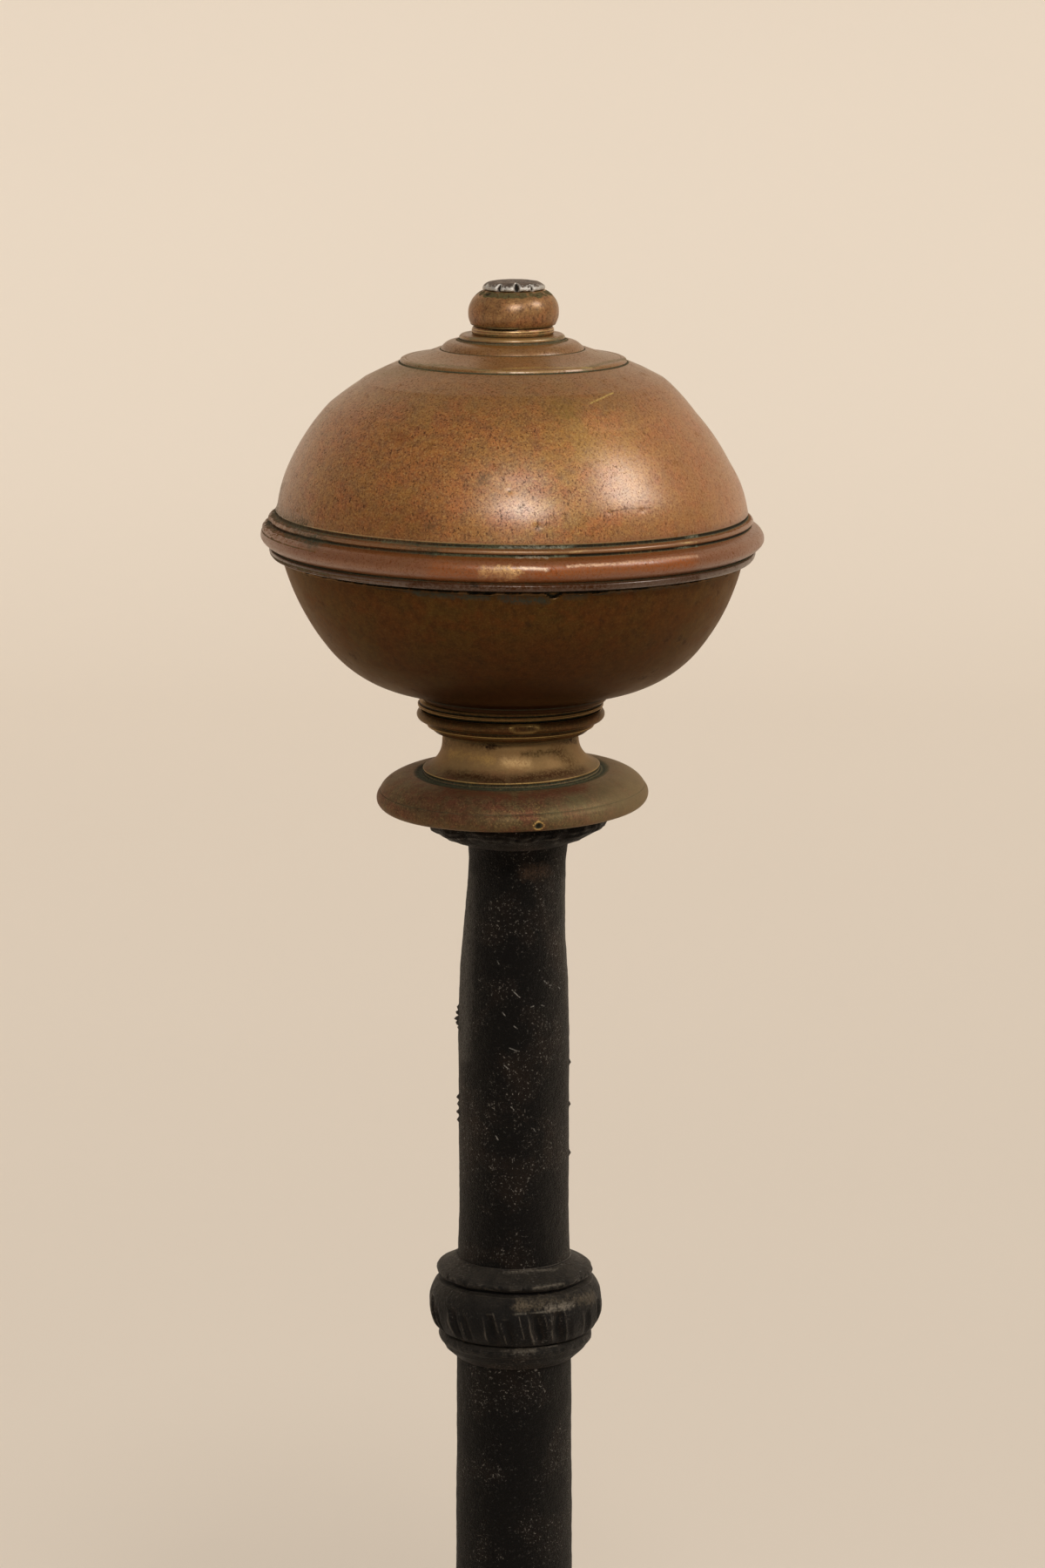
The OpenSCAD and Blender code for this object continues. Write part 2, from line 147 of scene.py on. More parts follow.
def swept(name, stations, hammer):
    """A closed forging over stations of (centre, side direction, thick direction, side, thick,
    corner), in mm. hammer(point) says how far a point of the skin is beaten in."""
    bm = bmesh.new()
    rings = []
    for centre, side_way, thick_way, side, thick, corner in stations:
        points = section(side, thick, corner)
        rings.append([bm.verts.new((centre + side_way * p.x + thick_way * p.y) * MM) for p in points])
    for a, b in zip(rings, rings[1:]):
        for i in range(len(a)):
            j = (i + 1) % len(a)
            bm.faces.new((a[i], a[j], b[j], b[i]))
    for ring in (rings[0], rings[-1]):
        middle = bm.verts.new(sum((v.co for v in ring), Vector()) / len(ring))
        for i in range(len(ring)):
            bm.faces.new((ring[i], ring[(i + 1) % len(ring)], middle))
    return made_piece(name, bm, hammer)


def grain(point, size, seed=0):
    """Smooth noise from -1 to 1 whose lumps are about size mm across."""
    return noise.noise(point / size + Vector((seed, 1.7 * seed, 0.3 * seed)))


def through(points, x):
    """The value at x on straight lines through points of (x, value)."""
    for (x0, y0), (x1, y1) in zip(points, points[1:]):
        if x <= x1:
            return y0 + (y1 - y0) * max(0, x - x0) / (x1 - x0)
    return points[-1][1]


def bell(x, half):
    """1 in the middle and 0 from half outwards, with soft shoulders."""
    return (1 - (x / half) ** 2) ** 2 if abs(x) < half else 0


def facing(bearing, at):
    """How far one bearing is from another, in radians from -pi to pi."""
    return (bearing - at + math.pi) % (2 * math.pi) - math.pi


def made_piece(name, bm, hammer=None):
    """The finished piece. Its skin is beaten in along the normals, and every corner of the mesh
    learns how sharp an edge or how deep a groove it lies in, for wear and for dirt."""
    bmesh.ops.recalc_face_normals(bm, faces=bm.faces)
    if hammer:
        bm.normal_update()
        beaten = [v.co - v.normal * hammer(v.co / MM) * MM for v in bm.verts]
        for v, place in zip(bm.verts, beaten):
            v.co = place
    bm.normal_update()
    edge = bm.verts.layers.float.get("edge") or bm.verts.layers.float.new("edge")
    groove = bm.verts.layers.float.get("groove") or bm.verts.layers.float.new("groove")
    for v in bm.verts:
        around = [e.other_vert(v).co - v.co for e in v.link_edges]
        curve = -sum(d.dot(v.normal) / max(d.length_squared, 1e-10) for d in around) / len(around) * MM
        v[edge] = min(1, max(0, v[edge] + curve * 2.2 - 0.18))
        v[groove] = min(1.6, max(0, v[groove] - curve * 2.2 - 0.12))
    mesh = bpy.data.meshes.new(name)
    bm.to_mesh(mesh)
    bm.free()
    mesh.shade_smooth()
    piece = bpy.data.objects.new(name, mesh)
    bpy.context.scene.collection.objects.link(piece)
    return piece


def wire(tree, socket, value):
    """Feeds a socket from another socket, or sets its own value."""
    if isinstance(value, bpy.types.NodeSocket):
        tree.links.new(value, socket)
    elif socket.type == "RGBA":
        socket.default_value = (*value, 1)
    else:
        socket.default_value = value


def speckle(tree, place, size, detail=3.0, rough=0.55, twist=0.0):
    """Noise from 0 to 1 with lumps about size mm across, as a socket."""
    node = tree.nodes.new("ShaderNodeTexNoise")
    wire(tree, node.inputs["Vector"], place)
    node.inputs["Scale"].default_value = 1 / (size * MM)
    node.inputs["Detail"].default_value = detail
    node.inputs["Roughness"].default_value = rough
    node.inputs["Distortion"].default_value = twist
    return node.outputs[0]


def new_material(name):
    """A new material with its tree, its shader and the place on the piece as a socket."""
    material = bpy.data.materials.new(name)
    material.use_nodes = True
    tree = material.node_tree
    place = tree.nodes.new("ShaderNodeTexCoord").outputs["Object"]
    return material, tree, tree.nodes["Principled BSDF"], place


def carried(tree, layer):
    """What the corners of the mesh carry in a layer, edge or groove, as a socket."""
    node = tree.nodes.new("ShaderNodeAttribute")
    node.attribute_name = layer
    return node.outputs["Fac"]


def embossed(tree, shader, height, depth):
    """Gives the shader a relief. depth is what a height of 1 stands for, in mm."""
    bump = tree.nodes.new("ShaderNodeBump")
    bump.inputs["Distance"].default_value = depth * MM
    wire(tree, bump.inputs["Height"], height)
    wire(tree, shader.inputs["Normal"], bump.outputs["Normal"])


def between(tree, value, low, high, to_low=0.0, to_high=1.0):
    """A value taken from its range low to high to another range, and held inside it."""
    node = tree.nodes.new("ShaderNodeMapRange")
    wire(tree, node.inputs["Value"], value)
    node.inputs["From Min"].default_value = low
    node.inputs["From Max"].default_value = high
    node.inputs["To Min"].default_value = to_low
    node.inputs["To Max"].default_value = to_high
    return node.outputs[0]


def sums(tree, operation, a, b=0.0, held=False):
    """A sum of two values as a socket, held between 0 and 1 if asked."""
    node = tree.nodes.new("ShaderNodeMath")
    node.operation = operation
    node.use_clamp = held
    wire(tree, node.inputs[0], a)
    wire(tree, node.inputs[1], b)
    return node.outputs[0]


def vectors(tree, operation, a, b=(0, 0, 0)):
    """A sum of vectors as a socket. A dot product or a length comes out as a value."""
    node = tree.nodes.new("ShaderNodeVectorMath")
    node.operation = operation
    wire(tree, node.inputs[0], a)
    if operation != "LENGTH":
        wire(tree, node.inputs["Scale" if operation == "SCALE" else 1], b)
    return node.outputs["Value" if operation in ("DOT_PRODUCT", "LENGTH") else "Vector"]


def blended(tree, share, a, b):
    """Colour a, with colour b over it by a share."""
    node = tree.nodes.new("ShaderNodeMix")
    node.data_type = "RGBA"
    wire(tree, node.inputs[0], share)
    wire(tree, node.inputs[6], a)
    wire(tree, node.inputs[7], b)
    return node.outputs[2]


def stretched(tree, place, turn, scale):
    """The place turned by three angles in degrees and stretched, for streaks and scratches."""
    node = tree.nodes.new("ShaderNodeMapping")
    wire(tree, node.inputs["Vector"], place)
    node.inputs["Rotation"].default_value = [math.radians(t) for t in turn]
    node.inputs["Scale"].default_value = scale
    return node.outputs[0]


def effect(name, takes, gives):
    """A new node group with named inputs and outputs. Returns its tree and both ends."""
    tree = bpy.data.node_groups.new(name, "ShaderNodeTree")
    kinds = {"value": "NodeSocketFloat", "colour": "NodeSocketColor", "place": "NodeSocketVector"}
    for label, kind in takes.items():
        tree.interface.new_socket(name=label, in_out="INPUT", socket_type=kinds[kind])
    for label, kind in gives.items():
        tree.interface.new_socket(name=label, in_out="OUTPUT", socket_type=kinds[kind])
    return tree, tree.nodes.new("NodeGroupInput").outputs, tree.nodes.new("NodeGroupOutput").inputs


def use_effect(tree, group, **values):
    """Places a group in a material with its own values, and returns its outputs."""
    node = tree.nodes.new("ShaderNodeGroup")
    node.node_tree = group
    for label, value in values.items():
        wire(tree, node.inputs[label], value)
    return node.outputs


# Fine scratches that run three ways, as thin bright lines
scratches, given, made = effect("fine_scratches", {"Place": "place"}, {"Lines": "value"})
lines = 0.0
for turn, seed_size in (((20, 35, 10), 9), ((70, -25, 60), 13), ((-40, 60, -30), 11)):
    way = stretched(scratches, given["Place"], turn, (1, 1, 0.06))
    band = sums(scratches, "ABSOLUTE", sums(scratches, "SUBTRACT", speckle(scratches, way, 1.3, 1.0), 0.5))
    line = between(scratches, band, 0.012, 0.002)
    patch = between(scratches, speckle(scratches, stretched(scratches, given["Place"], turn, (1, 1, 1)),
                                       seed_size, 1.0), 0.52, 0.66)
    lines = sums(scratches, "MAXIMUM", lines, sums(scratches, "MULTIPLY", line, patch))
wire(scratches, made["Lines"], lines)

# Small pits, each with its own size, of which only some are open
pitting, given, made = effect("pitting", {"Place": "place", "Share": "value"}, {"Pits": "value"})
pits = 0.0
for spacing, reach in ((2.6, 0.34), (1.1, 0.42)):
    cells = pitting.nodes.new("ShaderNodeTexVoronoi")
    wire(pitting, cells.inputs["Vector"], given["Place"])
    cells.inputs["Scale"].default_value = 1 / (spacing * MM)
    pick = pitting.nodes.new("ShaderNodeSeparateColor")
    wire(pitting, pick.inputs[0], cells.outputs["Color"])
    chosen = sums(pitting, "SUBTRACT", given["Share"], pick.outputs[0])
    size = sums(pitting, "MULTIPLY", sums(pitting, "MAXIMUM", chosen, 0.0), reach / 0.3, True)
    depth = sums(pitting, "SUBTRACT", size, sums(pitting, "MULTIPLY", cells.outputs["Distance"], 1.6))
    pits = sums(pitting, "MAXIMUM", pits, between(pitting, depth, 0.0, 0.16))
wire(pitting, made["Pits"], pits)

# One scratch, spot or stain, as its cover of a place: a line between two ends with a reach to
# both sides. Distance along the view counts little, so a mark stays on an uneven surface.
marking, given, made = effect("mark", {"Place": "place", "From": "place", "To": "place", "Reach": "value",
                                       "Ragged": "value"}, {"Mask": "value"})
shiver = marking.nodes.new("ShaderNodeTexNoise")
wire(marking, shiver.inputs["Vector"], given["Place"])
shiver.inputs["Scale"].default_value = 1 / (1.1 * MM)
shiver.inputs["Detail"].default_value = 3
astray = vectors(marking, "SUBTRACT", shiver.outputs["Color"], (0.5, 0.5, 0.5))
moved = vectors(marking, "ADD", given["Place"], vectors(marking, "SCALE", astray, given["Ragged"]))
off = vectors(marking, "SUBTRACT", moved, given["From"])
line = vectors(marking, "SUBTRACT", given["To"], given["From"])
share = sums(marking, "DIVIDE", vectors(marking, "DOT_PRODUCT", off, line),
             sums(marking, "MAXIMUM", vectors(marking, "DOT_PRODUCT", line, line), 1e-9), True)
off = vectors(marking, "SUBTRACT", off, vectors(marking, "SCALE", line, share))
deep = sums(marking, "MULTIPLY", vectors(marking, "DOT_PRODUCT", off, tuple(to_lens)), 0.85)
off = vectors(marking, "SUBTRACT", off, vectors(marking, "SCALE", tuple(to_lens), deep))
away = sums(marking, "DIVIDE", vectors(marking, "LENGTH", off), given["Reach"])
broken = between(marking, speckle(marking, given["Place"], 0.5, 2.0, 0.7), 0.38, 0.56, 0.25)
wire(marking, made["Mask"], sums(marking, "MULTIPLY", between(marking, away, 1.0, 0.15), broken))


def weathered(tree, place, groove, colour, height, relief, tints, marks):
    """Lays tints and marks over a skin. A tint is (way, start, stop, colour, share): a colour that
    comes in along a direction, and stays off the dirt in the grooves. A mark is (one end, other
    end, reach, ragged, colour, share, depth), in mm but for the ends. Returns the colour, the
    height and how much the marks cover."""
    covered = 0.0
    clear = between(tree, groove, 0.85, 0.35) if tints else 1.0
    for way, start, stop, tint, share in tints:
        along = vectors(tree, "DOT_PRODUCT", place, tuple(way))
        begin = post.dot(way)
        cover = between(tree, along, begin + start * MM, begin + stop * MM, 0.0, share)
        cover = sums(tree, "MULTIPLY", cover, clear)
        colour = blended(tree, cover, colour, tint)
    for one, other, reach, ragged, tint, share, depth in marks:
        mask = use_effect(tree, marking, Place=place, From=tuple(one), To=tuple(other), Reach=reach * MM,
                          Ragged=ragged * MM)["Mask"]
        cover = sums(tree, "MULTIPLY", mask, share)
        colour = blended(tree, cover, colour, tint)
        covered = sums(tree, "MAXIMUM", cover, covered)
        if depth:
            height = sums(tree, "SUBTRACT", height, sums(tree, "MULTIPLY", mask, depth / relief))
    return colour, height, covered


# The skin of black hearth iron: sandy grain, soft lumps, rust in the low places, rubbed edges,
# painted glints as pale specks on the highest grains, and fine ash on what faces up
iron_skin, given, made = effect(
    "hearth_iron_skin",
    {"Place": "place", "Edge": "value", "Groove": "value", "Black": "colour", "Brown": "colour",
     "Rubbed": "colour", "Rust": "value", "Ash": "value"},
    {"Color": "colour", "Roughness": "value", "Height": "value"})
sand = speckle(iron_skin, given["Place"], 0.5, 4.0, 0.7)
lumps = speckle(iron_skin, given["Place"], 2.8, 3.0, 0.5)
cloud = speckle(iron_skin, given["Place"], 17, 4.0, 0.6, 0.4)
rusty = between(iron_skin, sums(iron_skin, "ADD", cloud, sums(iron_skin, "MULTIPLY", given["Groove"], 0.25)),
                0.5, 0.68)
rusty = sums(iron_skin, "MULTIPLY", rusty, given["Rust"], True)
colour = blended(iron_skin, rusty, given["Black"], given["Brown"])
rub = sums(iron_skin, "MULTIPLY", given["Edge"], between(iron_skin, lumps, 0.3, 0.55), True)
colour = blended(iron_skin, rub, colour, given["Rubbed"])
faces_up = vectors(iron_skin, "DOT_PRODUCT", iron_skin.nodes.new("ShaderNodeNewGeometry").outputs["Normal"],
                   (0, 0, 1))
ash = sums(iron_skin, "MULTIPLY", between(iron_skin, faces_up, 0.12, 0.75),
           between(iron_skin, sand, 0.3, 0.6, 0.3))
ash = sums(iron_skin, "MULTIPLY", sums(iron_skin, "MULTIPLY", ash, given["Ash"]),
           between(iron_skin, lumps, 0.3, 0.6, 0.35))
colour = blended(iron_skin, ash, colour, (0.075, 0.06, 0.043))
# Painted glints: pale specks where light would catch the highest grains
painted_glints = between(iron_skin, speckle(iron_skin, given["Place"], 0.6, 3.0, 0.85), 0.6, 0.67)
painted_glints = sums(iron_skin, "MULTIPLY", painted_glints, between(iron_skin, cloud, 0.46, 0.58, 0.1, 0.9))
colour = blended(iron_skin, painted_glints, colour, (0.24, 0.215, 0.185))
soot = between(iron_skin, given["Groove"], 0.3, 0.8)
colour = blended(iron_skin, soot, colour, (0.0015, 0.0012, 0.001))
wire(iron_skin, made["Color"], colour)
wire(iron_skin, made["Roughness"],
     between(iron_skin, sums(iron_skin, "ADD", sand, rub), 0.3, 1.2, 0.62, 0.34))
wire(iron_skin, made["Height"], sums(iron_skin, "ADD", sums(iron_skin, "MULTIPLY", sand, 1.3), lumps))


def black_iron(name, rust, relief, black=(0.0028, 0.0021, 0.0016), brown=(0.016, 0.0095, 0.006),
               rubbed=(0.07, 0.06, 0.049), dust=0.06, ash=0.5, gloss=1.18, marks=()):
    """Hearth iron under old blacking. relief is the depth of its grain in mm, dust is the bloom
    that lightens it where it turns away, ash is how much has settled on what faces up, and gloss
    is the blacking's index."""
    material, tree, shader, place = new_material(name)
    groove = carried(tree, "groove")
    skin = use_effect(tree, iron_skin, Place=place, Edge=carried(tree, "edge"), Groove=groove,
                      Black=black, Brown=brown, Rubbed=rubbed, Rust=rust, Ash=ash)
    colour, height = weathered(tree, place, groove, skin["Color"], skin["Height"], relief, (), marks)[:2]
    wire(tree, shader.inputs["Base Color"], colour)
    wire(tree, shader.inputs["Roughness"], skin["Roughness"])
    shader.inputs["IOR"].default_value = gloss
    shader.inputs["Sheen Weight"].default_value = dust
    shader.inputs["Sheen Roughness"].default_value = 0.35
    shader.inputs["Sheen Tint"].default_value = (1, 0.86, 0.7, 1)
    embossed(tree, shader, height, relief)
    return material


def bar_hammer(point):
    """Flat hammer marks with softer dents between them, and scale pitted by the fire."""
    flats = abs(grain(point, 13, 3)) * 0.7
    scale = max(0, grain(point, 3.1, 8)) * 0.35
    return 0.1 + flats + scale


bar_front = bar_low.y / MM
bar_top = bar_high.z / MM
foot_y = (foot_low.y + foot_high.y) / 2 / MM
foot_top = foot_high.z / MM
step_r = BAR_STEP / 2 / (1 - math.cos(math.radians(BAR_STEP_TURN)))
step_l = step_r * math.radians(BAR_STEP_TURN)
seat_l = (block_high.y - bar_low.y) / MM + 18
rear_l = foot_y - bar_front - seat_l - 2 * step_r * math.sin(math.radians(BAR_STEP_TURN)) - BAR_REAR_BEND
drop_l = bar_top - BAR_SIDE / 2 - BAR_STEP - BAR_REAR_BEND - foot_top
bar_runs = [(seat_l, 0), (step_l, -BAR_STEP_TURN), (step_l, BAR_STEP_TURN), (rear_l, 0),
            (BAR_REAR_BEND * math.pi / 2, -90), (drop_l, 0)]
bar_total = sum(length for length, turn in bar_runs)
bar_stations = []
for along, height, heading, distance in forged_run((bar_front, bar_top - BAR_SIDE / 2, 0), bar_runs, 2):
    taper = max(0, distance - bar_total + 60) / 60 * 3
    chamfer = 1.6 * max(0, 1 - distance / 1.6)
    bar_stations.append((Vector((0, along, height)), Vector((1, 0, 0)),
                         Vector((0, -math.sin(heading), math.cos(heading))),
                         BAR_SIDE - chamfer, BAR_SIDE - taper - chamfer, BAR_CORNER))
for height, radius in ((foot_top, TENON_R), (2, TENON_R), (0.05, TENON_SPREAD)):
    bar_stations.append((Vector((0, foot_y, height)), Vector((1, 0, 0)), Vector((0, 1, 0)),
                         2 * radius, 2 * radius, 0.98 * radius))
log_bar = swept("log_bar_forging", bar_stations, lambda p: bar_hammer(p) if p.z > foot_top + 0.5 else 0)
log_bar.data.materials.append(black_iron("burnt_bar_iron", 0.9, 0.5, brown=(0.045, 0.026, 0.016)))
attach(log_bar, "root")
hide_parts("log_bar")


# ---------- Rear foot ----------
# A round wrought pad on the bar's tenon. The tenon is spread in a countersunk hole under it
# and dressed flush, so that only a faint ring shows from below.
FOOT_EDGE = 2.5


def arc(centre, half_axes, start, stop, steps=10):
    """Points of an ellipse about a centre, from one angle to another in degrees."""
    turns = [math.radians(start + (stop - start) * i / steps) for i in range(steps + 1)]
    return [(centre[0] + half_axes[0] * math.cos(t), centre[1] + half_axes[1] * math.sin(t)) for t in turns]


def fine_line(line, step):
    """The line through some points, with points no further apart than step."""
    fine = []
    for (r0, z0), (r1, z1) in zip(line, line[1:]):
        parts = max(1, math.ceil(math.hypot(r1 - r0, z1 - z0) / step))
        fine += [(r0 + (r1 - r0) * i / parts, z0 + (z1 - z0) * i / parts) for i in range(parts)]
    return fine + line[-1:]


def turned(name, shown, hidden, foot, columns, step, ageing=None, axis=post, hammer=None):
    """A piece turned round an upright axis. shown and hidden are the outline's points (radius,
    height over foot) in mm, and only the shown part is divided finely. ageing(bearing, radius,
    height) gives a point's new radius and height, its wear and its dirt."""
    outline = fine_line(shown, step) + hidden
    bm = bmesh.new()
    edge = bm.verts.layers.float.new("edge")
    groove = bm.verts.layers.float.new("groove")
    rows = []
    for r, z in outline:
        row = []
        for c in range(columns if r > 0 else 1):
            bearing = 2 * math.pi * c / columns
            new_r, new_z, wear, dirt = ageing(bearing, r, z) if ageing and r > 0 else (r, z, 0, 0)
            way = front * math.cos(bearing) + right * math.sin(bearing)
            v = bm.verts.new(axis + (way * new_r + up * (foot + new_z)) * MM)
            v[edge] = wear
            v[groove] = dirt
            row.append(v)
        rows.append(row)
    for a, b in zip(rows, rows[1:] + rows[:1]):
        for c in range(columns):
            d = (c + 1) % columns
            corners = [a[c % len(a)], a[d % len(a)], b[d % len(b)], b[c % len(b)]]
            corners = list(dict.fromkeys(corners))
            if len(corners) > 2:
                bm.faces.new(corners)
    return made_piece(name, bm, hammer)


foot_r = (foot_high.x - foot_low.x) / 2 / MM
foot_h = (foot_high.z - foot_low.z) / MM
foot_axis = Vector(((foot_low.x + foot_high.x) / 2, (foot_low.y + foot_high.y) / 2, 0))
foot_shown = [(TENON_SPREAD + 0.15, 0), (foot_r - 0.9, 0), (foot_r - 0.2, 0.6), (foot_r, 1.4)]
foot_shown += arc((foot_r - FOOT_EDGE, foot_h - FOOT_EDGE), (FOOT_EDGE, FOOT_EDGE), 5, 90, 8)
foot_shown += [(TENON_R + 0.1, foot_h)]
rear_foot = turned("rear_foot_pad", foot_shown, [(TENON_R + 0.1, 2.0)], 0, 96, 1.2, axis=foot_axis,
                   hammer=lambda p: 0.25 * abs(grain(p, 8, 5)) if p.z > 0.7 else 0)
rear_foot.data.materials.append(black_iron("foot_iron", 1.0, 0.4, brown=(0.05, 0.03, 0.018)))
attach(rear_foot, "root")
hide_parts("rear_foot")


# ---------- Base block ----------
# A forged iron block that stands on the log bar under the column. It is drilled down for the
# tie rod and across for the rivets of the legs, and its corners are dressed off.
BLOCK_CORNER = 3.4


def upright_block(name, sections, centre, hammer):
    """A forging of level sections (height, width, depth, corner) in mm, one over the other."""
    stations = [(Vector((centre.x / MM, centre.y / MM, z)), Vector((1, 0, 0)), Vector((0, 1, 0)), w, d, c)
                for z, w, d, c in sections]
    return swept(name, stations, hammer)


block_w = (block_high.x - block_low.x) / MM
block_d = (block_high.y - block_low.y) / MM
block_z = block_low.z / MM
block_top = block_high.z / MM
block_sections = [(block_z, block_w - 2, block_d - 2, BLOCK_CORNER),
                  (block_z + 1, block_w, block_d, BLOCK_CORNER)]
block_sections += [(block_z + 1 + (block_top - block_z - 2) * i / 16, block_w, block_d, BLOCK_CORNER)
                   for i in range(1, 17)]
block_sections += [(block_top, block_w - 1.6, block_d - 1.6, BLOCK_CORNER)]
block_hammer = lambda p: (0.05 + 0.5 * abs(grain(p, 11, 2))) if block_z + 0.5 < p.z < block_top - 0.5 else 0
block = upright_block("base_block_forging", block_sections, post, block_hammer)
block.data.materials.append(black_iron("block_iron", 0.7, 0.45))
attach(block, "root")
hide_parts("base_block")


# ---------- Front legs ----------
# Two flat bars, riveted to the block's sides. Each is drawn down thinner, swept out over a knee
# to the ankle and rolled up into a scroll that stands on a worn flat.
LEG_TOP_T = 11
LEG_EYE = 4                            # radius of the rolled end
LEG_BENDS = [(30, 52), (26, -14), (30, -26), (32, 10), (36, 86), (21, 74), (16, 80), (13, 84), (8, 60)]
LEG_TAPER = [(0, 0), (55, 1), (105, -0.5), (165, -2), (205, -3.5), (240, -5.5), (400, -5.5)]
FOOT_WEAR = 1.2                        # depth of the flat worn under the scroll
leg_low, leg_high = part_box("right_leg")
leg_w = (leg_high.y - leg_low.y) / MM


def tapered(distance):
    """Thickness of a leg at a distance from its top."""
    return LEG_TOP_T + through(LEG_TAPER, distance)


def leg_hammer(point):
    """Long hammer facets along the leg, none in the worn flat that it stands on."""
    if point.z < 1.5:
        return 0
    return 0.08 + 0.55 * abs(grain(Vector((point.x, point.y * 0.45, point.z)), 12, 6)) \
        + 0.16 * max(0, grain(point, 3, 9))


def leg_forging(name, hand):
    """A leg on the right (hand 1) or the left (hand -1)."""
    top = (block_w / 2 + LEG_TOP_T / 2, leg_high.z / MM, -90)
    lowest = min(height - tapered(distance) / 2 * math.cos(heading)
                 for along, height, heading, distance in forged_run(top, LEG_BENDS, 1.5)
                 if abs(math.sin(heading)) < 0.4 and math.cos(heading) > 0)
    palm = lowest + FOOT_WEAR
    runs = [(palm, 0)] + LEG_BENDS
    total = sum(length for length, turn in runs)
    stations = []
    walked = forged_run(top, runs, 1.6)
    for along, height, heading, distance in walked:
        left = total - distance
        thick = tapered(distance)
        if left < LEG_EYE:
            thick = max(thick, 2 * math.sqrt(LEG_EYE ** 2 - left ** 2))
        trim = 2.2 * max(0, 1 - distance / 2.2)
        stations.append((Vector((hand * along, post.y / MM, height)), Vector((0, 1, 0)),
                         Vector((-hand * math.sin(heading), 0, math.cos(heading))),
                         leg_w - trim, thick - trim, min(1.7, thick / 2 - 0.3)))
    along, height, heading, distance = walked[-1]
    for turn in (25, 50, 70, 84):
        onward = LEG_EYE * math.sin(math.radians(turn))
        thick = 2 * LEG_EYE * math.cos(math.radians(turn))
        stations.append((Vector((hand * (along + onward * math.cos(heading)), post.y / MM,
                                 height + onward * math.sin(heading))), Vector((0, 1, 0)),
                         Vector((-hand * math.sin(heading), 0, math.cos(heading))),
                         leg_w - 0.6, thick, min(1.2, thick / 2 - 0.05)))
    piece = swept(name, stations, leg_hammer)
    for v in piece.data.vertices:
        v.co.z = max(v.co.z, 0)
    return piece


leg_iron = black_iron("leg_iron", 0.6, 0.45)
for leg_name, hand in (("left_leg", -1), ("right_leg", 1)):
    leg = leg_forging(leg_name + "_forging", hand)
    leg.data.materials.append(leg_iron)
    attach(leg, "root")
    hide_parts(leg_name)


# ---------- Leg rivets ----------
# Two iron rivets pass through both legs and the block, one before and one behind the tie rod.
# Their heads were set hot with a hammer, so each dome is a little lopsided.
rivet_low, rivet_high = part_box("leg_rivets")
RIVET_R = 2.8
RIVET_HEAD_R = 4.8
RIVET_HEAD_H = 2.6
RIVET_SIDES = 24
rivet_half = (rivet_high.x - rivet_low.x) / 2 / MM
rivet_z = (rivet_low.z + rivet_high.z) / 2 / MM
shank_half = rivet_half - RIVET_HEAD_H
rivets = bmesh.new()
for y in (rivet_low.y / MM + RIVET_HEAD_R, rivet_high.y / MM - RIVET_HEAD_R):
    dome = arc((0, shank_half), (RIVET_HEAD_R, RIVET_HEAD_H), 0, 88, 8)
    outline = dome[::-1] + [(RIVET_R, shank_half), (RIVET_R, -shank_half)] + [(r, -z) for r, z in dome]
    turns = [math.radians(360 * i / RIVET_SIDES) for i in range(RIVET_SIDES)]
    rings = [[rivets.verts.new(Vector((z, y + r * math.cos(t), rivet_z + r * math.sin(t))) * MM)
              for t in turns] for r, z in outline]
    for a, b in zip(rings, rings[1:]):
        for i in range(RIVET_SIDES):
            j = (i + 1) % RIVET_SIDES
            rivets.faces.new((a[i], a[j], b[j], b[i]))
    rivets.faces.new(rings[0])
    rivets.faces.new(rings[-1])
leg_rivets = made_piece("leg_rivet_pair", rivets,
                        lambda p: 0.35 * abs(grain(p, 3.5, 4)) if abs(p.x) > shank_half + 0.3 else 0)
leg_rivets.data.materials.append(black_iron("rivet_iron", 0.5, 0.25))
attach(leg_rivets, "root")
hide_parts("leg_rivets")


# ---------- Block cap ----------
# A bevelled square plate between the block and the foot knop. A low round boss on it is
# let into the knop and keeps the column central.
cap_low, cap_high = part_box("block_cap")
CAP_PLATE_H = 5
CAP_BOSS_R = 17
cap_w = (cap_high.x - cap_low.x) / MM
cap_d = (cap_high.y - cap_low.y) / MM
cap_z = cap_low.z / MM
cap_sections = [(cap_z, cap_w - 1.4, cap_d - 1.4, 1.6), (cap_z + 0.7, cap_w, cap_d, 1.9),
                (cap_z + 1.7, cap_w, cap_d, 1.9), (cap_z + 2.5, cap_w - 0.3, cap_d - 0.3, 1.9),
                (cap_z + 3.5, cap_w - 2.2, cap_d - 2.2, 1.9), (cap_z + 4.6, cap_w - 4.6, cap_d - 4.6, 1.9),
                (cap_z + CAP_PLATE_H, cap_w - 5.6, cap_d - 5.6, 2.2),
                (cap_z + CAP_PLATE_H, 2 * CAP_BOSS_R, 2 * CAP_BOSS_R, 0.98 * CAP_BOSS_R),
                (cap_high.z / MM, 2 * CAP_BOSS_R, 2 * CAP_BOSS_R, 0.98 * CAP_BOSS_R)]
block_cap = upright_block("block_cap_plate", cap_sections, post,
                          lambda p: 0.22 * abs(grain(p, 7, 7)) if p.z < cap_z + CAP_PLATE_H - 0.1 else 0)
block_cap.data.materials.append(black_iron("cap_iron", 0.6, 0.4))
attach(block_cap, "root")
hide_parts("block_cap")


# ---------- Foot knop ----------
# An iron collar of three bands at the column's foot: a rounded ring, a wide band with leaning
# chisel cuts and a second ring. The cuts are struck by hand, so no two are quite alike.
KNOP_CUTS = 24
CUT_LEAN = math.radians(13)
KNOP_SHIFT = 0.35                      # how far a knop stands to the right on its seats
BORE_R = 5.1                           # radius of the hole for the tie rod


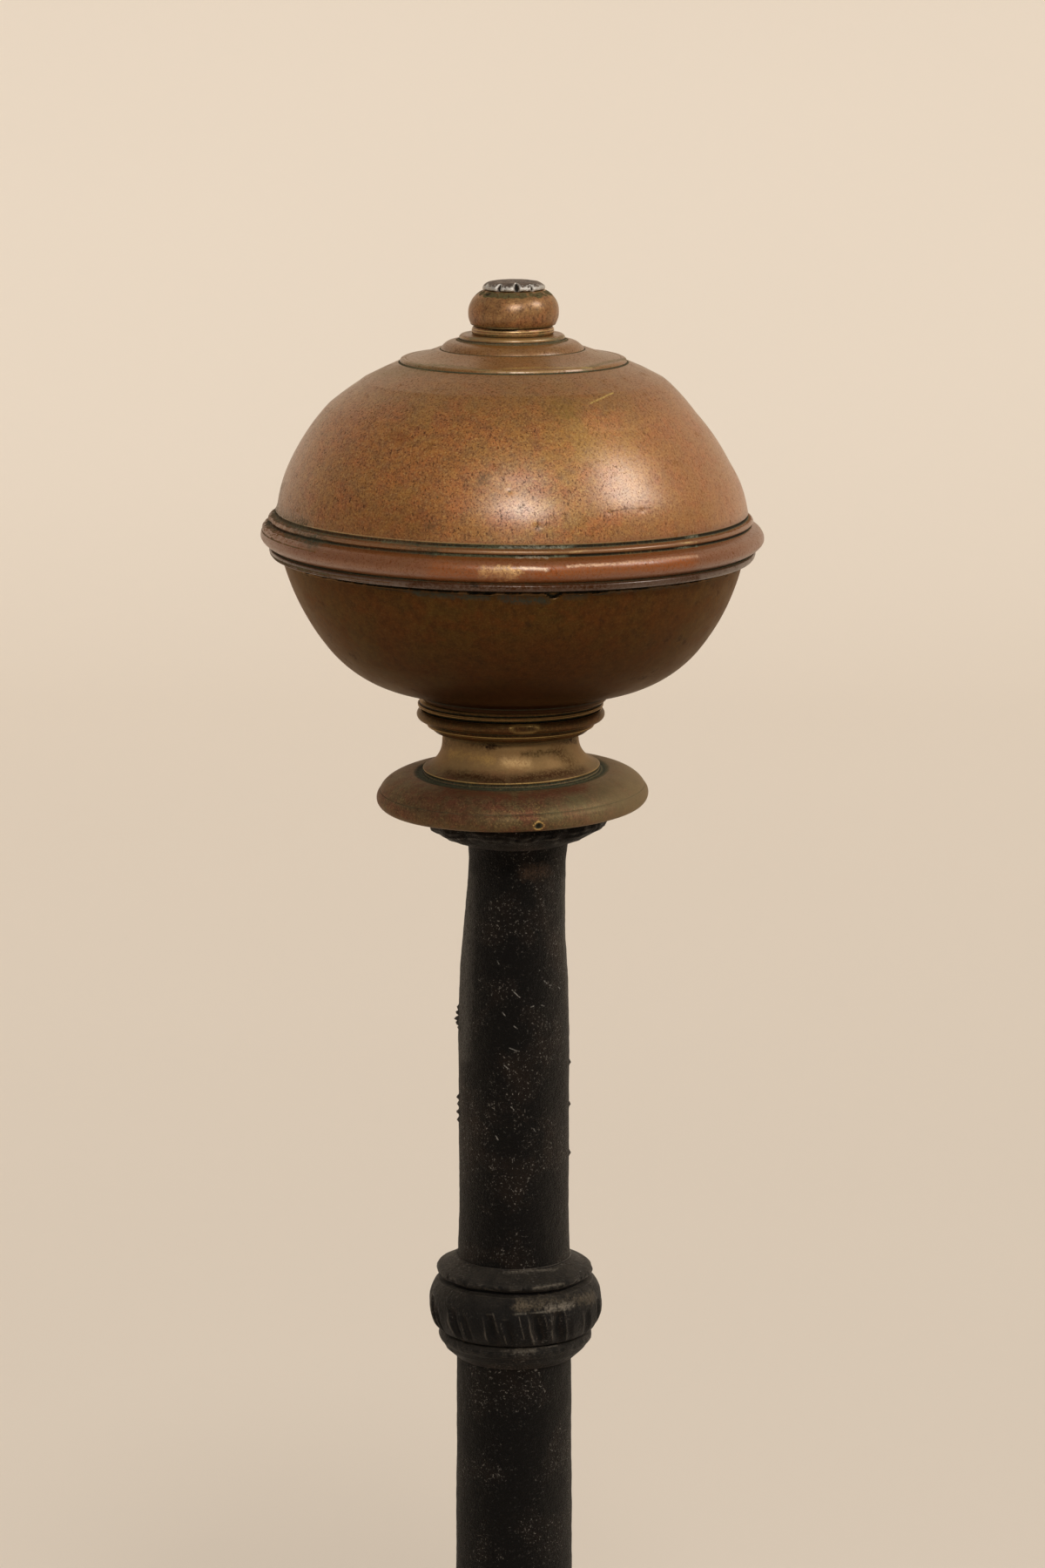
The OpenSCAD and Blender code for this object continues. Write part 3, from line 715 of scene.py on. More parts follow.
def banded_knop(name, foot, h, r, top_seat, bottom_seat, seed):
    """A knop of greatest radius r between the heights 0 and h over its foot."""
    lower_ring = arc((r - 4.6, 0.2 * h), (2.35, 0.075 * h), -48, 62, 8)
    band = arc((r - 3.1, 0.525 * h), (3.1, 0.25 * h), -76, 72, 20)
    collar = arc((r - 4.6, 0.862 * h), (2.65, 0.062 * h), -40, 72, 10)
    shown = [(bottom_seat + 0.6, 0), (r - 4.9, 0.05 * h), (r - 3.7, 0.095 * h)] + lower_ring
    shown += [(r - 3.5, 0.255 * h), (r - 3.4, 0.27 * h)] + band
    shown += [(r - 3.9, 0.78 * h), (r - 3.9, 0.8 * h)] + collar
    shown += [(r - 4.9, 0.945 * h), (r - 6, 0.975 * h), (top_seat + 0.5, h)]

    def ageing(bearing, radius, height):
        """The leaning cuts with their burrs, the lumps, nicks and dirt of the forging, and painted shade
        under the lower ring.
        """
        place = Vector((radius * math.cos(bearing), radius * math.sin(bearing), height))
        turn = bearing * KNOP_CUTS / (2 * math.pi)
        share = height / h
        lean = (share - 0.47) * h * math.tan(CUT_LEAN) / (2 * math.pi * r / KNOP_CUTS)
        count = math.floor(turn + lean + 0.5)
        off = turn + lean - count
        odd = noise.cell(Vector((count % KNOP_CUTS, seed, 0.5)))
        skew = (odd - 0.5) * 0.3 + 0.1 * grain(place, 4, seed + 1)
        upper = 0.57 + 0.05 * odd
        struck = 0
        if 0.26 < share < 0.66:
            struck = bell(share - (upper + 0.3) / 2, (upper - 0.3) / 2 + 0.02) ** 0.4
        deep = struck * bell(off - skew, 0.3 + 0.1 * odd) * (0.85 + 0.6 * odd)
        burr = struck * bell(off - skew + 0.36, 0.12) * 0.12
        lump = 0.2 * grain(place, 5, seed) + 0.08 * grain(place, 1.6, seed + 2)
        wave = 0.35 * grain(Vector((place.x, place.y, 0)), 6, seed + 3) * bell(share - 0.79, 0.09)
        nick = max(0, grain(place, 1.5, seed + 4))
        nick *= 0.5 * bell(share - 0.85, 0.06) + 0.15 * bell(share - 0.2, 0.05)
        wear = burr * 7 * (1 + grain(place, 3, seed + 5)) - 0.35 - 0.5 * struck
        # Painted shade under the lower ring, with dirt in the cuts and in the groove under the collar
        dirt = max(0.5 * bell(share, 0.14), deep * 0.5, 0.5 * bell(share - 0.79, 0.04))
        aside = 0
        if radius > 13.6:
            aside = KNOP_SHIFT * through([(0.82, 1), (0.93, -0.8)], share) * math.sin(bearing)
        return radius - deep + burr + min(0, lump - 0.08) - nick + aside, height + wave, wear, dirt

    return turned(name, shown, [(top_seat, h), (top_seat, h - 1.5), (BORE_R, h - 1.5), (BORE_R, 1.5),
                                (bottom_seat, 1.5), (bottom_seat, 0)], foot, 28 * KNOP_CUTS, 0.33, ageing)


knop_low, knop_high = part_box("foot_knop")
foot_knop = banded_knop("foot_knop_forging", knop_low.z / MM, (knop_high.z - knop_low.z) / MM,
                        (knop_high.x - knop_low.x) / 2 / MM, 14.6, CAP_BOSS_R, 11)
foot_knop.data.materials.append(black_iron("foot_knop_iron", 0.6, 0.3, rubbed=(0.07, 0.058, 0.045),
                                           ash=0.7))
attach(foot_knop, "root")
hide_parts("foot_knop")


# ---------- Lower shaft ----------
# A round iron shaft with a hole for the tie rod. It swells a little towards the foot and
# still has the rough skin of its casting under the blacking.
def cast_skin(point, seed):
    """Shallow waves, lumps and sand marks of an unfinished casting, always inwards, in mm."""
    waves = 0.1 + 0.1 * grain(point, 14, seed)
    return waves + 0.07 * grain(point, 3.5, seed + 2) + 0.05 * grain(point, 1.3, seed)


shaft_low, shaft_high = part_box("lower_shaft")
shaft_h = (shaft_high.z - shaft_low.z) / MM
shaft_foot_r = (shaft_high.x - shaft_low.x) / 2 / MM
lower_shown = [(shaft_foot_r + 0.1, 0), (shaft_foot_r - 0.5, shaft_h * 0.25),
               (shaft_foot_r - 0.8, shaft_h * 0.62), (shaft_foot_r - 1.1, shaft_h)]
lower_shaft = turned("lower_shaft_casting", lower_shown, [(BORE_R, shaft_h), (BORE_R, 0)],
                     shaft_low.z / MM, 200, 0.55, hammer=lambda p: cast_skin(p, 21))
lower_shaft.data.materials.append(black_iron("lower_shaft_iron", 0.4, 0.4, black=(0.0026, 0.002, 0.0015)))
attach(lower_shaft, "root")
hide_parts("lower_shaft")


# ---------- Knop ----------
# The same three-banded collar in a smaller size, halfway up the column.
knop_low, knop_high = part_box("knop")
knop = banded_knop("knop_forging", knop_low.z / MM, (knop_high.z - knop_low.z) / MM,
                   (knop_high.x - knop_low.x) / 2 / MM, 13, 13.4, 5)
# Bright places on the knop: iron rubbed on the collar's edges, the lobes and the cut edges, with painted
# sheen and glints over them, broadest on the shoulder
knop_wear_and_sheen = [
    (on_round(579, 1461, 15), on_round(640, 1457, 15), 0.5, 0.7, (0.13, 0.11, 0.085), 0.6, 0),
    (on_round(612, 1479, 18.5), on_round(646, 1474, 18.5), 0.5, 0.8, (0.15, 0.125, 0.095), 0.6, 0),
    (on_round(596, 1499, 19.5), on_round(676, 1490, 19.5), 2.0, 4.6, (0.13, 0.1, 0.065), 0.7, 0),
    (on_round(628, 1502, 19.5), on_round(655, 1498, 19.5), 1.2, 2.6, (0.26, 0.22, 0.17), 0.6, 0),
    (on_round(592, 1509, 20), on_round(604, 1508, 20), 0.4, 0.4, (0.16, 0.14, 0.11), 0.6, 0),
    (on_round(616, 1507, 20), on_round(626, 1506, 20), 0.4, 0.4, (0.16, 0.14, 0.11), 0.6, 0),
    (on_round(642, 1505, 20), on_round(650, 1503, 20), 0.4, 0.4, (0.16, 0.14, 0.11), 0.6, 0),
    (on_round(566, 1508, 20), on_round(572, 1530, 20), 0.24, 0.3, (0.12, 0.1, 0.08), 0.6, 0),
    (on_round(596, 1512, 20), on_round(602, 1538, 20), 0.24, 0.3, (0.12, 0.1, 0.08), 0.6, 0),
    (on_round(618, 1514, 20), on_round(623, 1538, 20), 0.24, 0.3, (0.12, 0.1, 0.08), 0.6, 0),
    (on_round(575, 1551, 18), on_round(640, 1545, 18), 0.3, 0.5, (0.12, 0.1, 0.08), 0.55, 0),
    (on_round(592, 1551, 18), on_round(614, 1550, 18), 0.8, 1.0, (0.13, 0.11, 0.085), 0.6, 0)]
knop.data.materials.append(black_iron("knop_iron", 0.7, 0.3, rubbed=(0.07, 0.058, 0.045), dust=0.05,
                                      ash=0.28, gloss=1.24, marks=knop_wear_and_sheen))
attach(knop, "root")
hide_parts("knop")


# ---------- Upper shaft ----------
# A cast iron shaft, narrower under the plate. Its upper end leans a little to the right, and
# crumbs of casting sand still stand out of its left side.
shaft_low, shaft_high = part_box("upper_shaft")
shaft_h = (shaft_high.z - shaft_low.z) / MM
shaft_r = (shaft_high.x - shaft_low.x) / 2 / MM
WAIST_R = 11.3
SHAFT_LEAN = 1.1                       # how far the top stands to the right, in mm
CRUMBS = [(527, 1156, 0.7), (526, 1162, 1.1), (526, 1169, 1.5), (527, 1174, 1.0), (529, 1179, 0.8),
          (532, 1042, 0.8), (531, 1063, 0.5), (528, 1259, 0.9), (528, 1267, 0.6), (528, 1276, 0.9),
          (528, 1285, 0.7), (655, 1219, 0.6), (656, 1267, 0.6), (656, 1323, 0.6)]
upper_shown = [(shaft_r + 0.2, 0), (shaft_r + 0.1, 0.05 * shaft_h), (shaft_r - 0.15, 0.13 * shaft_h),
               (shaft_r - 0.1, 0.3 * shaft_h), (shaft_r, 0.54 * shaft_h), (shaft_r - 0.4, 0.67 * shaft_h),
               (shaft_r - 1.1, 0.78 * shaft_h), (WAIST_R + 0.1, 0.88 * shaft_h), (WAIST_R, 0.95 * shaft_h),
               (WAIST_R + 0.4, shaft_h)]
crumb_places = [(*seen_at(px, py, shaft_r - 0.35), size) for px, py, size in CRUMBS]
shaft_foot = shaft_low.z / MM


def shaft_ageing(bearing, radius, height):
    """The skin of the casting with its crumbs of sand, and the lean of the upper end."""
    z = shaft_foot + height
    crumb = 0
    for at, crumb_z, size in crumb_places:
        away = facing(bearing, at) * radius
        crumb = max(crumb, bell(math.hypot(away, z - crumb_z), 0.75) * size * 0.8)
    lean = SHAFT_LEAN * max(0, (height / shaft_h - 0.76) / 0.24) if radius > 6 else 0
    skin = cast_skin(Vector((radius * math.sin(bearing), radius * math.cos(bearing), z)), 31)
    return radius - skin + crumb + lean * math.sin(bearing), height, crumb * 0.3, 0


upper_shaft = turned("upper_shaft_casting", upper_shown, [(BORE_R, shaft_h), (BORE_R, 0)], shaft_foot,
                     240, 0.42, shaft_ageing)
# Painted glints: tiny pale specks on the shaft where light catches its grain
GLINT_GREY = (0.3, 0.28, 0.25)
SHAFT_GLINTS = [(585, 1203, 596, 1207), (588, 1137, 597, 1145), (596, 1065, 598, 1071), (590, 1178, 594, 1181),
               (617, 1111, 620, 1114), (625, 1126, 628, 1129), (631, 1131, 633, 1131), (641, 1133, 643, 1135),
               (622, 1154, 625, 1155), (610, 1156, 613, 1155), (577, 1162, 580, 1166), (579, 1223, 584, 1227),
               (631, 1175, 632, 1180), (643, 1224, 644, 1226), (571, 1103, 573, 1107), (587, 1271, 590, 1274),
               (569, 1304, 572, 1308), (613, 1296, 615, 1299)]
shaft_marks = [(on_round(x0, y0, 12.6), on_round(x1, y1, 12.6), 0.17, 0.35, GLINT_GREY, 0.9, 0)
               for x0, y0, x1, y1 in SHAFT_GLINTS]
shaft_marks += [
    # Grey dust down both sides of the shaft, made lighter there as painted rim light where it turns away
    (on_round(535, 1010, 12), on_round(532, 1210, 12.4), 2.8, 2.4, (0.066, 0.059, 0.051), 1.0, 0),
    (on_round(648, 1010, 12), on_round(652, 1180, 12.4), 1.2, 1.2, (0.07, 0.062, 0.052), 0.7, 0),
    (on_round(605, 1002, 11), on_round(624, 1000, 11), 2.4, 3.0, (0.075, 0.045, 0.028), 0.75, 0)]
upper_shaft.data.materials.append(black_iron("upper_shaft_iron", 0.75, 0.4, dust=0.1, marks=shaft_marks))
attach(upper_shaft, "root")
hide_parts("upper_shaft")


# ---------- Cap plate ----------
# A ragged forged washer on the shaft's end that carries the brass. It sits out of true, a
# little to the right and higher on that side, and its edge is chipped.
plate_low, plate_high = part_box("cap_plate")
plate_h = (plate_high.z - plate_low.z) / MM
plate_r = (plate_high.x - plate_low.x) / 2 / MM
PLATE_SHIFT = 1.0
PLATE_TILT = math.radians(1)
plate_shown = [(WAIST_R + 0.6, -1.2), (WAIST_R + 1.6, -0.9), (14.6, -0.3), (16.4, 0.2), (plate_r - 2.2, 0.9),
               (plate_r - 0.6, 1.8), (plate_r + 0.5, 2.6), (plate_r + 0.9, 3.7), (plate_r + 0.7, 4.6),
               (plate_r + 0.5, 6.1), (plate_r - 0.4, 6.7), (13, plate_h - 0.1)]


def plate_ageing(bearing, radius, height):
    """The chipped edge, the tilt, and the shift to the right."""
    x = radius * math.sin(bearing)
    y = radius * math.cos(bearing)
    place = Vector((x, y, height))
    outer = min(1, max(0, (radius - WAIST_R - 1) / (plate_r - WAIST_R - 1)))
    ragged = outer * (0.75 * grain(place, 5, 41) + 0.5 * grain(place, 1.7, 43) - 0.5)
    shift = outer * PLATE_SHIFT * math.sin(bearing)
    rise = 0
    if height < 6:
        rise = outer * (math.tan(PLATE_TILT) * x + 0.7 * grain(Vector((x, y, 0)), 5, 44))
    return radius + ragged + shift, height + rise, 0, 0


cap_plate = turned("cap_plate_forging", plate_shown, [(BORE_R, plate_h - 0.3), (BORE_R, 0)],
                   plate_low.z / MM, 240, 0.4, plate_ageing)
cap_plate.data.materials.append(black_iron("cap_plate_iron", 0.9, 0.5))
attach(cap_plate, "root")
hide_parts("cap_plate")


# ---------- Brass flange ----------
# A cast and turned brass foot for the ball: a hollow neck that flares to a sharp edge, then a
# broad domed flange with a rolled rim. It leans to the left and to the front, and one blow has
# left a small crater in its rim.
flange_low, flange_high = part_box("brass_flange")
flange_r = (flange_high.x - flange_low.x) / 2 / MM
flange_h = 17.6                        # its height with the hollow neck
flange_foot = flange_high.z / MM - flange_h
FLANGE_TILT = math.tan(math.radians(1.2))
NECK_SHIFT = -0.035                    # how far the axis moves to the right, per mm of height
RIM_CRATER = (619, 946)
NECK_PATCH = (540, 865)
crater_at, crater_z = seen_at(*RIM_CRATER, flange_r - 0.2)
crater_z -= flange_foot
patch_at, patch_z = seen_at(*NECK_PATCH, 16.5)
patch_z -= flange_foot

# The skin of old unpolished brass: clouds of browns, fine dark and light specks, pits, dirt in
# the grooves, and metal rubbed bare in broken patches on the edges
brass_skin, given, made = effect(
    "old_brass_skin",
    {"Place": "place", "Edge": "value", "Groove": "value", "Brown": "colour", "Olive": "colour",
     "Copper": "colour", "Dark": "colour", "Green": "colour", "Bright": "colour", "Pitted": "value",
     "Specks": "value", "Scratched": "value", "Dull": "value", "Metal": "value", "Coat": "value"},
    {"Color": "colour", "Roughness": "value", "Metallic": "value", "Coat": "value", "Height": "value"})
cloud = speckle(brass_skin, given["Place"], 26, 4.0, 0.6, 0.6)
cloud_two = speckle(brass_skin, stretched(brass_skin, given["Place"], (30, 50, 10), (1, 1, 1.3)), 6, 5.0, 0.7)
mottle = speckle(brass_skin, given["Place"], 1.7, 4.0, 0.75)
specks = speckle(brass_skin, given["Place"], 0.45, 3.0, 0.8)
dashes = speckle(brass_skin, stretched(brass_skin, given["Place"], (6, -4, 0), (1, 1, 0.24)), 0.6, 2.0, 0.7)
colour = blended(brass_skin, between(brass_skin, cloud, 0.38, 0.64), given["Brown"], given["Olive"])
colour = blended(brass_skin, between(brass_skin, cloud_two, 0.45, 0.62, 0.0, 0.9), colour, given["Copper"])
colour = blended(brass_skin, between(brass_skin, mottle, 0.6, 0.34, 0.0, 0.5), colour, given["Dark"])
lights = sums(brass_skin, "MULTIPLY", between(brass_skin, specks, 0.45, 0.34, 0.0, 0.5), given["Specks"])
colour = blended(brass_skin, lights, colour, given["Bright"])
dots = between(brass_skin, specks, 0.54, 0.64)
dash_patch = between(brass_skin, cloud_two, 0.42, 0.56)
dots = sums(brass_skin, "MAXIMUM", dots,
            sums(brass_skin, "MULTIPLY", between(brass_skin, dashes, 0.6, 0.66, 0.0, 1.0), dash_patch))
dots = sums(brass_skin, "MULTIPLY", dots, given["Specks"], True)
colour = blended(brass_skin, dots, colour, given["Dark"])
pit_mask = use_effect(brass_skin, pitting, Place=given["Place"], Share=given["Pitted"])["Pits"]
stain = between(brass_skin, speckle(brass_skin, given["Place"], 4.5, 4.0, 0.7), 0.6, 0.72, 0.0, 0.5)
dark = sums(brass_skin, "MAXIMUM", sums(brass_skin, "MULTIPLY", pit_mask, 0.9), stain, True)
colour = blended(brass_skin, dark, colour, given["Dark"])
rubbed = sums(brass_skin, "SUBTRACT", given["Edge"], sums(brass_skin, "MULTIPLY", mottle, 0.75))
rubbed = between(brass_skin, rubbed, 0.0, 0.5, 0.0, 0.85)
colour = blended(brass_skin, rubbed, colour, given["Bright"])
grime = sums(brass_skin, "ADD", given["Groove"], sums(brass_skin, "MULTIPLY", mottle, 0.8))
grime = between(brass_skin, grime, 0.62, 0.98)
verdigris = blended(brass_skin, between(brass_skin, specks, 0.46, 0.62, 0.0, 0.8), given["Green"],
                    given["Dark"])
colour = blended(brass_skin, grime, colour, verdigris)
soot = sums(brass_skin, "ADD", given["Groove"], sums(brass_skin, "MULTIPLY", specks, 0.6))
soot = between(brass_skin, soot, 1.5, 1.7, 0.0, 0.9)
colour = blended(brass_skin, soot, colour, (0.012, 0.01, 0.007))
scratch_mask = use_effect(brass_skin, scratches, Place=given["Place"])["Lines"]
scratch_mask = sums(brass_skin, "MULTIPLY", scratch_mask, given["Scratched"])
colour = blended(brass_skin, scratch_mask, colour, given["Bright"])
wire(brass_skin, made["Color"], colour)
dirty = sums(brass_skin, "MAXIMUM", grime, dark, True)
rough = sums(brass_skin, "ADD", between(brass_skin, cloud_two, 0.3, 0.7, -0.05, 0.05), given["Dull"])
rough = sums(brass_skin, "ADD", rough, sums(brass_skin, "MULTIPLY", dirty, 0.3))
rough = sums(brass_skin, "SUBTRACT", rough, sums(brass_skin, "MULTIPLY", rubbed, 0.12), True)
wire(brass_skin, made["Roughness"], rough)
clean = sums(brass_skin, "SUBTRACT", 1.0, dirty, True)
wire(brass_skin, made["Metallic"], sums(brass_skin, "MULTIPLY", clean, given["Metal"]))
clean = sums(brass_skin, "SUBTRACT", clean, sums(brass_skin, "MULTIPLY", dots, 0.7), True)
wire(brass_skin, made["Coat"], sums(brass_skin, "MULTIPLY", clean, given["Coat"]))
height = sums(brass_skin, "ADD", sums(brass_skin, "MULTIPLY", mottle, 0.6),
              sums(brass_skin, "MULTIPLY", specks, 0.22))
height = sums(brass_skin, "SUBTRACT", height, pit_mask)
height = sums(brass_skin, "SUBTRACT", height, sums(brass_skin, "MULTIPLY", scratch_mask, 0.3))
wire(brass_skin, made["Height"], height)


def old_brass(name, brown, olive, copper, dark, green, bright, pitted=0.12, specks=0.5, scratched=0.15,
              dull=0.5, metal=0.35, coat=0.0, relief=0.08, tints=(), marks=()):
    """Brass that has gone brown. dull is its roughness, and relief the depth of a pit in mm."""
    material, tree, shader, place = new_material(name)
    groove = carried(tree, "groove")
    skin = use_effect(tree, brass_skin, Place=place, Edge=carried(tree, "edge"), Groove=groove,
                      Brown=brown, Olive=olive, Copper=copper, Dark=dark, Green=green, Bright=bright,
                      Pitted=pitted, Specks=specks, Scratched=scratched, Dull=dull, Metal=metal, Coat=coat)
    colour, height, covered = weathered(tree, place, groove, skin["Color"], skin["Height"], relief,
                                        tints, marks)
    wire(tree, shader.inputs["Base Color"], colour)
    wire(tree, shader.inputs["Roughness"], skin["Roughness"])
    wire(tree, shader.inputs["Metallic"], skin["Metallic"])
    if coat:
        gloss = skin["Coat"]
        if marks:
            gloss = sums(tree, "MULTIPLY", gloss, sums(tree, "SUBTRACT", 1.0, covered, True))
        wire(tree, shader.inputs["Coat Weight"], gloss)
    shader.inputs["Coat Roughness"].default_value = 0.355
    shader.inputs["Coat IOR"].default_value = 1.74
    shader.inputs["IOR"].default_value = 1.22
    shader.inputs["Specular Tint"].default_value = (1, 0.72, 0.45, 1)
    embossed(tree, shader, height, relief)
    return material


def flange_ageing(bearing, radius, height):
    """The crater, the wear of the sharp edge and of a patch on the neck, the lean and the dirt."""
    x = radius * math.sin(bearing)
    y = radius * math.cos(bearing)
    place = Vector((x, y, height))
    away = math.hypot(facing(bearing, crater_at) * radius, (height - crater_z) * 1.1)
    hole = bell(away, 1.15)
    lip = bell(away - 1.2, 0.45) * (0.8 if height > crater_z and bearing < crater_at else 0.15)
    patch = bell(math.hypot(facing(bearing, patch_at) * radius / 3.2, (height - patch_z) / 1.4), 1)
    arris = 1.2 * bell(height - (flange_h - 7.95), 0.3) * bell(facing(bearing, 0), 2) if radius > 19.5 else 0
    step = bell(radius - 21.3, 2.4) * bell(height - (flange_h - 9.3), 1) if radius > 20 else 0
    joint = bell(height - flange_h, 1.6)
    uneven = 0.12 * grain(place, 12, 51) + 0.04 * grain(place, 3, 52)
    outer = max(0, (radius - 20) / (flange_r - 20))
    new_r = radius - hole * 0.8 + lip * 0.1 + outer * (uneven - 0.1)
    resting = radius < 21 and height < 1
    loose = 0 if resting else min(1, (flange_h - height) / 7)
    if radius > 6:
        new_r += (NECK_SHIFT * height - 0.2) * math.sin(bearing)
    new_z = height + FLANGE_TILT * (x - y) * loose
    worn = arris * (0.75 + 0.5 * grain(place, 5, 53)) - 0.5 * bell(radius - 23, 2.6)
    return new_r, new_z, worn + patch * 0.7 + lip * 0.15, step * 0.8 + joint * 0.8 + hole * 1.5


neck = arc((21.8, flange_h - 1.6), (6.15, 6.4), 180, 252, 14)
edge_points = [(20.3, flange_h - 7.95), (20.0, flange_h - 8.5), (20.3, flange_h - 9.1),
               (21.2, flange_h - 9.3)]
skirt = arc((flange_r - 9.1, 3.5), (8.65, 5), 86, 20, 16)
rim = arc((flange_r - 2.35, 2.95), (2.4, 2.4), 48, -90, 14)
flange_shown = [(15.4, flange_h)] + neck + edge_points + skirt + rim
flange_hidden = [(flange_r - 3.5, 0.9), (flange_r - 6, 2.2), (22.5, 2.2), (20.4, 0.7), (20.4, 0.2), (12, 0.2),
                 (12, flange_h - 10), (10.5, flange_h - 4), (BORE_R, flange_h - 4), (BORE_R, flange_h)]
flange = turned("flange_turning", flange_shown, flange_hidden, flange_foot, 480, 0.35, flange_ageing)
flange_marks = [
    (on_round(495, 925, 30), on_round(540, 938, 30), 5.0, 4.0, (0.08, 0.03, 0.015), 0.5, 0),
    (on_round(470, 925, 29), on_round(480, 930, 29), 0.9, 1.0, (0.02, 0.012, 0.008), 0.9, 0.03),
    (on_round(640, 930, 30), on_round(690, 912, 30), 4.0, 3.0, (0.12, 0.1, 0.05), 0.35, 0),
    (on_round(513, 909, 25), on_round(585, 916, 25), 1.6, 1.6, (0.11, 0.033, 0.016), 0.9, 0),
    (on_round(600, 916, 25), on_round(670, 905, 25), 1.6, 1.6, (0.11, 0.035, 0.018), 0.9, 0),
    (on_round(515, 888, 20), on_round(575, 896, 20), 1.7, 1.2, (0.05, 0.021, 0.008), 0.95, 0),
    (on_round(590, 896, 20), on_round(668, 884, 20), 1.7, 1.2, (0.055, 0.022, 0.009), 0.95, 0),
    (on_round(642, 862, 16), on_round(656, 876, 17), 2.4, 2.0, (0.08, 0.038, 0.013), 0.8, 0),
    (on_round(520, 866, 16), on_round(563, 872, 16), 1.7, 2.6, (0.5, 0.3, 0.09), 0.6, 0),
    (on_round(515, 853, 15.6), on_round(562, 857, 15.6), 1.8, 2.4, (0.016, 0.007, 0.003), 0.95, 0),
    (on_round(562, 857, 15.6), on_round(660, 850, 15.6), 1.1, 2.0, (0.02, 0.009, 0.004), 0.95, 0),
    (on_round(600, 866, 16), on_round(640, 863, 16), 0.9, 2.0, (0.05, 0.03, 0.01), 0.8, 0),
    # A painted highlight on the front of the neck
    (on_round(580, 874, 17), on_round(606, 877, 17), 1.8, 1.6, (0.5, 0.33, 0.15), 0.6, 0)]
flange.data.materials.append(old_brass(
    "flange_brass", brown=(0.125, 0.07, 0.034), olive=(0.115, 0.086, 0.04), copper=(0.155, 0.057, 0.033),
    dark=(0.024, 0.013, 0.007), green=(0.05, 0.055, 0.032), bright=(0.5, 0.32, 0.11), pitted=0.2,
    specks=0.5, dull=0.5, metal=0.32, relief=0.07, marks=flange_marks,
    tints=[(right, 6, 26, (0.22, 0.165, 0.085), 0.6),
           (up, flange_foot + 9.2, flange_foot + 12, (0.31, 0.185, 0.075), 0.7)]))
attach(flange, "root")
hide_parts("brass_flange")


# ---------- Neck ring ----------
# A turned brass ring between the ball and the flange: a fillet, a groove full of old polish,
# and a bead on which handling has burnished one small flat. It sits a little to the left.
ring_low, ring_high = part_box("neck_ring")
ring_h = (ring_high.z - ring_low.z) / MM
RING_SHIFT = -0.7                      # how far it stands to the right, in mm
BURNISHED = (603, 837)
burnish_at, burnish_z = seen_at(*BURNISHED, 21.3)
burnish_z -= ring_low.z / MM


def ring_ageing(bearing, radius, height):
    """The burnished flat with its rim, the handled edges, a painted highlight on the bead's top and the dirty
    groove.
    """
    place = Vector((radius * math.sin(bearing), radius * math.cos(bearing), height))
    away = facing(bearing, burnish_at) * radius
    flat = bell(away, 3.6) * bell(height - burnish_z, 1.6)
    rim = bell(math.hypot(away / 3.1, (height - burnish_z) / 1.1) - 1, 0.3) if radius > 19.8 else 0
    rim *= 1 if height > burnish_z else 0.3
    new_r = radius + RING_SHIFT * math.sin(bearing) + 0.05 * grain(place, 5, 55)
    if radius > 20:
        new_r -= 0.5 * flat
    fillet = bell(height - (ring_h - 1.3), 0.45) if radius > 19.8 else 0
    channel = bell(height - (ring_h - 1.95), 0.45)
    lower_edge = bell(height - 1.9, 0.35) if radius > 18.6 else 0
    handled = bell(facing(bearing, -0.05), 0.9)
    worn = fillet * (0.15 + 0.75 * handled) + lower_edge * (0.1 + 0.4 * handled)
    worn *= 0.8 + 0.6 * grain(place, 5, 54)
    # A painted highlight along the top of the bead, toward the front
    painted_top_highlight = 0.5 * handled * bell(height - (ring_h - 2.5), 0.5) if radius > 20 else 0
    worn += rim * 0.5 + flat * 0.3 + painted_top_highlight - 0.3
    return new_r, height, worn, channel * 0.9 + bell(height, 1.2)


ring_shown = [(15.7, 0), (17.5, 0.4), (18.5, 1.2), (19.1, 1.55), (19.3, 1.9), (19.1, 2.6)]
ring_shown += arc((20, ring_h - 3.4), (1.55, 1.35), -60, 60, 12)
ring_shown += [(19.9, ring_h - 2.15), (19.9, ring_h - 1.85), (20.9, ring_h - 1.65), (21.25, ring_h - 1.35),
               (21.3, ring_h - 0.9), (20.9, ring_h - 0.6), (20.9, ring_h)]
neck_ring = turned("neck_ring_turning", ring_shown, [(5.6, ring_h), (5.6, 0)], ring_low.z / MM, 480, 0.22,
                   ring_ageing)
neck_ring.data.materials.append(old_brass(
    "neck_ring_brass", brown=(0.08, 0.038, 0.013), olive=(0.09, 0.052, 0.016), copper=(0.11, 0.042, 0.014),
    dark=(0.014, 0.008, 0.005), green=(0.03, 0.038, 0.02), bright=(0.42, 0.27, 0.09), specks=0.4, dull=0.38,
    metal=0.4, relief=0.06))
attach(neck_ring, "root")
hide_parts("neck_ring")


# ---------- Lower half of the ball ----------
# A cast brass bowl, turned outside and drawn in sharply at the bottom. Its spigot holds it inside
# the upper half's rim, and the open joint between them has filled with dirt and verdigris.
bowl_low, bowl_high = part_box("ball_lower_shell")
dome_low, dome_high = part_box("ball_upper_shell")
belt_r = (dome_high.x - dome_low.x) / 2 / MM
SPIGOT_H = 3
BALL_SHIFT = -0.3                      # how far the ball's axis stands to the right, in mm
SEAM_LEAN = 0.009                      # how much lower the seam lies, per mm to the right
SEAM_DROP = 0.2                        # how far its joint has been hammered down, in mm
bowl_h = (bowl_high.z - bowl_low.z) / MM - SPIGOT_H
JOINT_WEDGE = (636, 688)
wedge_at = seen_at(*JOINT_WEDGE, belt_r - 5)[0]


